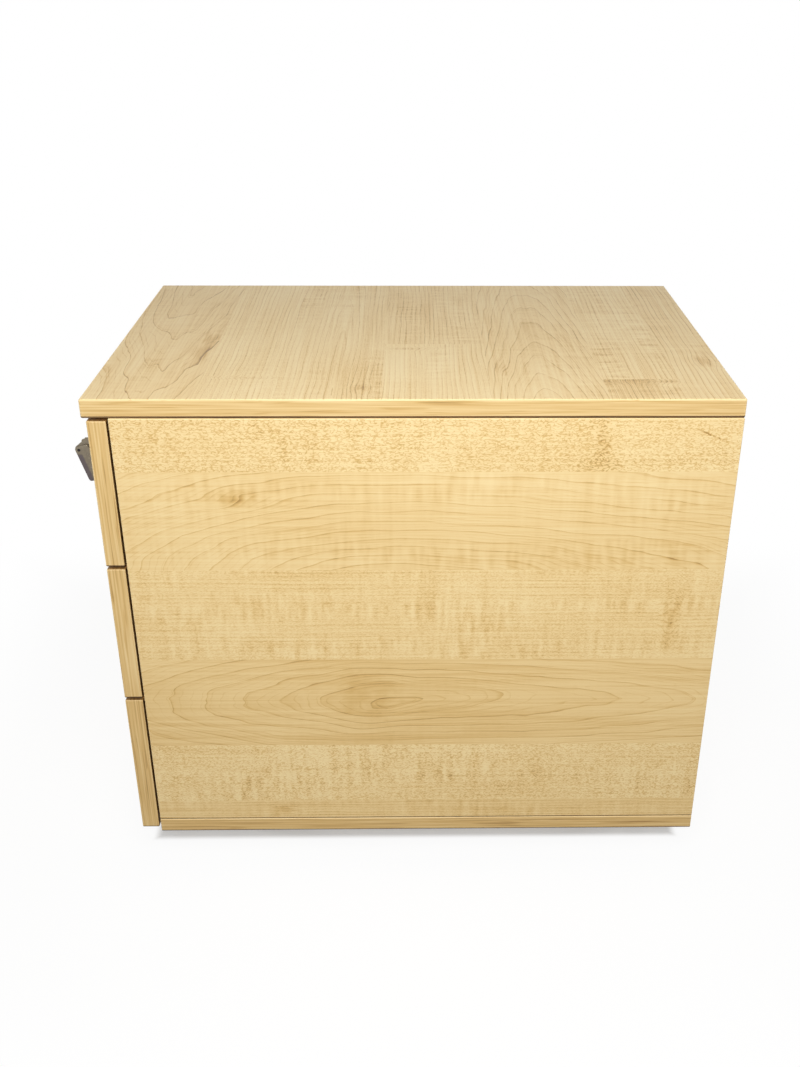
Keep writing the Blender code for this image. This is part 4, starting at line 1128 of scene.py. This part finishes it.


@finish
def key_metal_with_edge_shade(f):
    """Grey plating, with painted shade towards the bow's outer edge, and fine scratches and smudges."""
    _, y, z = f.parts(f.own_place())
    from_pin = (y - PIN_Y) * math.cos(BOW_LEAN) + (z - PIN_Z) * math.sin(BOW_LEAN)
    edge_shade = (1 - (z - PIN_Z).ease(*EDGE_SHADE_BELOW)) * (1 - from_pin.ease(*EDGE_SHADE_INWARDS))
    smudge = f.speckle(260, detail=3.0)
    scratch = f.speckle(1500, (1.0, 0.1, 0.4)).ease(0.62, 0.72)
    # the grey is darker than plain nickel, a painted reflection of a darker room
    grey = f.two_tone(smudge, (146, 136, 116), (112, 103, 92))
    scratched = f.mix(scratch * 0.5, grey, linear(172, 164, 146))
    return dict(
        # painted shade along the bow's outer edge
        Base_Color=f.mix(edge_shade * 0.75, scratched, linear(92, 84, 92)),
        Metallic=0.85,
        Roughness=0.36 + smudge * 0.14,
        Normal=f.bump(smudge + scratch * 0.4, 0.05, 0.1 * MM),
    )


@finish
def turned_nickel(f):
    """Bright metal with fine rings from the lathe about the lock's axis, and smudges."""
    x, _, z = f.parts(f.own_place())
    radius = ((x - LOCK_X) ** 2.0 + (z - LOCK_Z) ** 2.0).root()
    rings = f.noise(f.node("ShaderNodeCombineXYZ", None, {0: radius}), (2600.0, 1.0, 1.0), detail=1.0)
    smudge = f.speckle(150, detail=3.0)
    return dict(
        Base_Color=f.two_tone(rings * 0.6 + smudge * 0.4, (178, 174, 165), (132, 127, 117)),
        Metallic=1.0,
        Roughness=0.20 + rings * 0.12 + smudge * 0.1,
        Normal=f.bump(rings, 0.05, 0.05 * MM),
    )


@finish
def dark_hole(f):
    """The shade inside a small drilled hole, with a little grime."""
    shade_and_grime = f.speckle(900)
    return dict(Base_Color=f.two_tone(shade_and_grime, (14, 13, 12), (34, 31, 28)), Roughness=0.8 + shade_and_grime * 0.1)


coat("lock_barrel", turned_nickel)
print("lock at", round(LOCK_X / MM, 1), "mm across and", round(LOCK_Z / MM, 1), "mm up")

# %% Lock rosette
BARREL_RADIUS = 6.3 * MM
HOUSING_RADIUS = 9 * MM  # behind the drawer front's face

rosette_radius = (housing_high.x - housing_low.x) / 2
rosette_corners = [
    (housing_low.y, BARREL_RADIUS),
    (housing_low.y, rosette_radius),
    (FRONT_FACE, rosette_radius),
    (FRONT_FACE, HOUSING_RADIUS),
    (housing_high.y, HOUSING_RADIUS),
    (housing_high.y, BARREL_RADIUS),
]
rosette_skin = turned(rosette_corners, SOFT, (LOCK_X, 0, LOCK_Z), Y_AXIS)
rosette = make_piece("lock_rosette", rosette_skin, turned_nickel, "lock_housing")
print(rosette.name, len(rosette.data.polygons), "faces")

# %% Key
SHANK_HALF = 1.2 * MM  # half the shank's thickness
SHANK_SOFT = 0.8 * MM
SHANK_RIM = 0.25 * MM
SHANK_STOP = barrel_low.y - 0.3 * MM  # the shoulder that stops at the barrel
BLADE_HALF = 3.6 * MM  # half the blade's height
BLADE_FOOT = 12 * MM  # from the blade's tip to its lower corner
SHOULDER = 6.5 * MM  # above the lock's axis
PIN_RADIUS = 1.5 * MM
PIN_PROUD = 0.1 * MM  # stands so much out of the cheeks
BOW_LENGTH = 33 * MM  # below the pin
BOW_ABOVE = 3.4 * MM  # above and before the pin
BOW_DEPTH = 11 * MM  # from the pin towards the drawer front
BOW_SOFT = 3.2 * MM
BOW_RIM = 0.9 * MM
CHEEK = 1.5 * MM  # thickness of a cheek
CORE_START = 4.6 * MM  # the core between the cheeks starts so far below the pin
CORE_INSET = 0.5 * MM  # and stays so far inside their outline
CORE_EDGE = 0.8 * CHEEK  # its two faces lie so deep inside the cheeks

shank_corners = [
    (blade_high.y - BLADE_FOOT, LOCK_Z - BLADE_HALF),
    (blade_high.y, LOCK_Z - BLADE_HALF),
    (blade_high.y, LOCK_Z + BLADE_HALF),
    (SHANK_STOP, LOCK_Z + BLADE_HALF),
    (SHANK_STOP, LOCK_Z + SHOULDER),
    (PIN_Y + 6.4 * MM, LOCK_Z + SHOULDER),
    (PIN_Y + 6.0 * MM, LOCK_Z + 5.3 * MM),
    (PIN_Y + 3.4 * MM, LOCK_Z + 4.8 * MM),
    (PIN_Y + 3.0 * MM, LOCK_Z + 2.6 * MM),
    (PIN_Y - 0.6 * MM, PIN_Z + 4.6 * MM),
    (PIN_Y - KNUCKLE, PIN_Z + 2.2 * MM),
    (PIN_Y - KNUCKLE, PIN_Z - 2.2 * MM),
    (PIN_Y - 1.6 * MM, PIN_Z - KNUCKLE),
    (PIN_Y + 2.2 * MM, PIN_Z - KNUCKLE),
    (PIN_Y + KNUCKLE + 0.4 * MM, PIN_Z + 0.9 * MM),
    (SHANK_STOP, PIN_Z + 0.9 * MM),
    (SHANK_STOP, LOCK_Z - BLADE_HALF),
]
shank_outline = soften(shank_corners, SHANK_SOFT)
shank_skin = cut_plate(shank_outline, LOCK_X - SHANK_HALF, LOCK_X + SHANK_HALF, SHANK_RIM, X_AXIS)
make_piece("key_shank", shank_skin, key_metal_with_edge_shade, "key_blade")

pin_half = (bow_high.x - bow_low.x) / 2 + PIN_PROUD
pin_corners = [(-pin_half, 0), (-pin_half, PIN_RADIUS), (pin_half, PIN_RADIUS), (pin_half, 0)]
pin_skin = turned(pin_corners, FINE_SOFT, (LOCK_X, PIN_Y, PIN_Z), X_AXIS, closed=False)
make_piece("key_pin", pin_skin, dark_hole, body="key")


def bow_outline(first, last):
    """Outline of the bow between two distances down from the pin, as depths and heights of the frame.

    Its own axes lean: down is the way that it hangs, and in is towards the drawer front.
    """
    outer_edge = [(first, -BOW_ABOVE), (last, -BOW_ABOVE)]
    inner_edge = [(last, BOW_DEPTH), (first + 6 * MM, BOW_DEPTH)]
    corners = soften([(first, 9.8 * MM)] + outer_edge + inner_edge, BOW_SOFT)
    down = np.array([math.sin(BOW_LEAN), -math.cos(BOW_LEAN)])
    inwards = np.array([math.cos(BOW_LEAN), math.sin(BOW_LEAN)])
    return np.array([PIN_Y, PIN_Z]) + corners[:, :1] * down + corners[:, 1:] * inwards


cheek_outline = bow_outline(-BOW_ABOVE, BOW_LENGTH)
core_outline = inset(bow_outline(CORE_START, BOW_LENGTH), CORE_INSET)
bow_skin = join(
    cut_plate(cheek_outline, bow_low.x, bow_low.x + CHEEK, BOW_RIM / 2, X_AXIS),
    cut_plate(cheek_outline, bow_high.x - CHEEK, bow_high.x, BOW_RIM / 2, X_AXIS),
    cut_plate(core_outline, bow_low.x + CORE_EDGE, bow_high.x - CORE_EDGE, FINE_SOFT, X_AXIS),
)
make_piece("key_bow_cheeks", bow_skin, key_metal_with_edge_shade, "key_bow")
print("key hangs", round((PIN_Z - BOW_LENGTH) / MM), "mm above the floor at its lowest")


# %% [markdown]
# ## Rollers and castors
# Rollers and wheels are turned shapes, so a softened profile carried round its axis gives the true form,
# with the small radii that a mould leaves. The castor's plate is pressed sheet, cut to an outline.

# %% Rollers
ROLLER_SOFT = 0.6 * MM
ROLLER_BORE = 2.3 * MM


def roller_skin(name):
    """A bored ring in place of a node that turns about X: outer radius and width come from its box."""
    low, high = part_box(name)
    _, y, z = midway(low, high)
    radius = (high.z - low.z) / 2
    corners = [(low.x, ROLLER_BORE), (low.x, radius), (high.x, radius), (high.x, ROLLER_BORE)]
    return turned(corners, ROLLER_SOFT, (0.0, y, z), X_AXIS)


for kind in ("runner_roller", "drawer_roller"):
    for side in SIDES:
        for level in LEVELS:
            name = f"{kind}_{side}_{level}"
            roller = make_piece(f"{name}_nylon", roller_skin(name), roller_nylon, name)
print("twelve rollers of", len(roller.data.polygons), "faces")

# %% Castors
WHEEL_BORE = 2.8 * MM
WHEEL_SOFT = 1.0 * MM
HUB_RADIUS = 5.5 * MM
RIM_DEPTH = 4 * MM  # from the tread to the dished face
RIM_STEP = 0.4 * MM  # the rim stands so much behind the hub
DISH = 2.2 * MM
DISH_SLOPE = 0.8 * MM
TREAD_ROUND = (2.2 * MM, 2.0 * MM)  # along the axle and across it
RIVET_RADIUS = 2.5 * MM
PLATE_THICK = 2 * MM
PLATE_CORNER = 6 * MM
PLATE_RIM = 0.4 * MM
RACE_DEPTH = 2.7 * MM
RACE_RADIUS = 12 * MM
KINGPIN_RADIUS = 3 * MM
KINGPIN_HEAD = 1.6 * MM  # height of its head
SCREW_MARGIN = 6 * MM
CASTOR_SCREW = (3.7 * MM, 2.0 * MM)


def both_ways(right):
    """A profile with a right half and its mirror image."""
    return [(-along, reach) for along, reach in right] + right[::-1]


def wheel_skin(name):
    """A wheel: hub, dished face, rim and rounded tread, the same on both sides."""
    low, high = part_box(name)
    radius = (high.z - low.z) / 2
    half = (high.x - low.x) / 2
    rim = radius - RIM_DEPTH
    right = [
        (half, WHEEL_BORE),
        (half, HUB_RADIUS),
        (half - DISH, HUB_RADIUS + DISH_SLOPE),
        (half - DISH, rim - DISH_SLOPE),
        (half - RIM_STEP, rim),
        (half - RIM_STEP, radius - TREAD_ROUND[1]),
        (half - TREAD_ROUND[0], radius),
    ]
    return turned(both_ways(right), WHEEL_SOFT, midway(low, high), X_AXIS)


def axle_skin(name):
    """A rivet across the fork with a domed head at each end."""
    low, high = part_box(name)
    tip = (high.x - low.x) / 2
    head = (high.z - low.z) / 2
    dome = [(tip, 0), (tip - 0.2 * MM, head * 0.55), (tip - 1.1 * MM, head)]
    right = dome + [(tip - 1.3 * MM, RIVET_RADIUS)]
    return turned(both_ways(right), SOFT, midway(low, high), X_AXIS, closed=False)


def plate_skin(name):
    """A castor's plate with rounded corners, its ball race below, and the kingpin's head."""
    low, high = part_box(name)
    x, y, _ = midway(low, high)
    half = (high.x - low.x) / 2
    bottom = high.z - PLATE_THICK
    head_top = low.z + KINGPIN_HEAD
    corners = [(x - half, y - half), (x + half, y - half), (x + half, y + half), (x - half, y + half)]
    race_low = bottom - RACE_DEPTH
    race = [(race_low, 0), (race_low, RACE_RADIUS), (bottom + MM, RACE_RADIUS + MM), (bottom + MM, 0)]
    head = [(low.z, 0), (low.z, 4.5 * MM), (head_top, 5 * MM)]
    kingpin = head + [(head_top, KINGPIN_RADIUS), (bottom, KINGPIN_RADIUS), (bottom, 0)]
    return join(
        cut_plate(soften(corners, PLATE_CORNER), bottom, high.z, PLATE_RIM, Z_AXIS),
        turned(race, MM, (x, y, 0), Z_AXIS, closed=False),
        turned(kingpin, SOFT, (x, y, 0), Z_AXIS, closed=False),
    )


CASTOR_PIECES = (  # name of the piece and of its node, form, material and slot
    ("wheel_nylon", "castor_wheel", wheel_skin, wheel_nylon, "black_nylon"),
    ("axle_rivet", "castor_axle", axle_skin, zinc_plate, "castor_steel"),
    ("swivel_plate", "castor_plate", plate_skin, zinc_plate, "castor_steel"),
)
for name in CASTORS:
    for piece, node, form, material, slot in CASTOR_PIECES:
        made = make_piece(f"{piece}_{name}", form(f"{node}_{name}"), material, f"{node}_{name}")
        print(made.name, len(made.data.polygons), "faces")
    low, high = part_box(f"castor_plate_{name}")
    spots = [
        (x, y, high.z - PLATE_THICK)
        for x in (low.x + SCREW_MARGIN, high.x - SCREW_MARGIN)
        for y in (low.y + SCREW_MARGIN, high.y - SCREW_MARGIN)
    ]
    make_screws(f"castor_screws_{name}", "carcass", spots, Z_AXIS, -1, *CASTOR_SCREW)


# %% [markdown]
# ## Screws of runners and drawer walls
# Runners are screwed to the case with flat heads, which leave room for the rollers to pass. Each drawer
# wall has a tab behind the front, held by two round-headed screws.

# %% Small screws
FLAT_HEAD = (3.2 * MM, 0.35 * MM)
TAB_SCREW = (3.4 * MM, 1.6 * MM)
RUNNER_SCREW_PLACES = (0.12, 0.5, 0.9)  # along the runner
TAB_SCREW_PLACES = (0.25, 0.75)  # up the wall
TAB_SCREW_INSET = 5 * MM  # from the wall's inner bound
WEB_THICK = 1.2 * MM

for level in LEVELS:
    for side, sign in SIDES.items():
        low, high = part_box(f"runner_{side}_{level}")
        face = high.x - WEB_THICK if sign > 0 else low.x + WEB_THICK
        middle = midway(low, high)[2]
        spots = [(face, low.y + share * (high.y - low.y), middle) for share in RUNNER_SCREW_PLACES]
        make_screws(f"runner_screws_{side}_{level}", "carcass", spots, X_AXIS, -sign, *FLAT_HEAD)
        low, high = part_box(f"drawer_wall_{side}_{level}")
        inner = low.x + TAB_SCREW_INSET if sign > 0 else high.x - TAB_SCREW_INSET
        spots = [(inner, low.y + WEB_THICK, low.z + share * (high.z - low.z)) for share in TAB_SCREW_PLACES]
        make_screws(f"tab_screws_{side}_{level}", f"drawer_{level}", spots, Y_AXIS, 1, *TAB_SCREW)
print(len(RUNNER_SCREW_PLACES), "screws a runner,", len(TAB_SCREW_PLACES), "a tab")
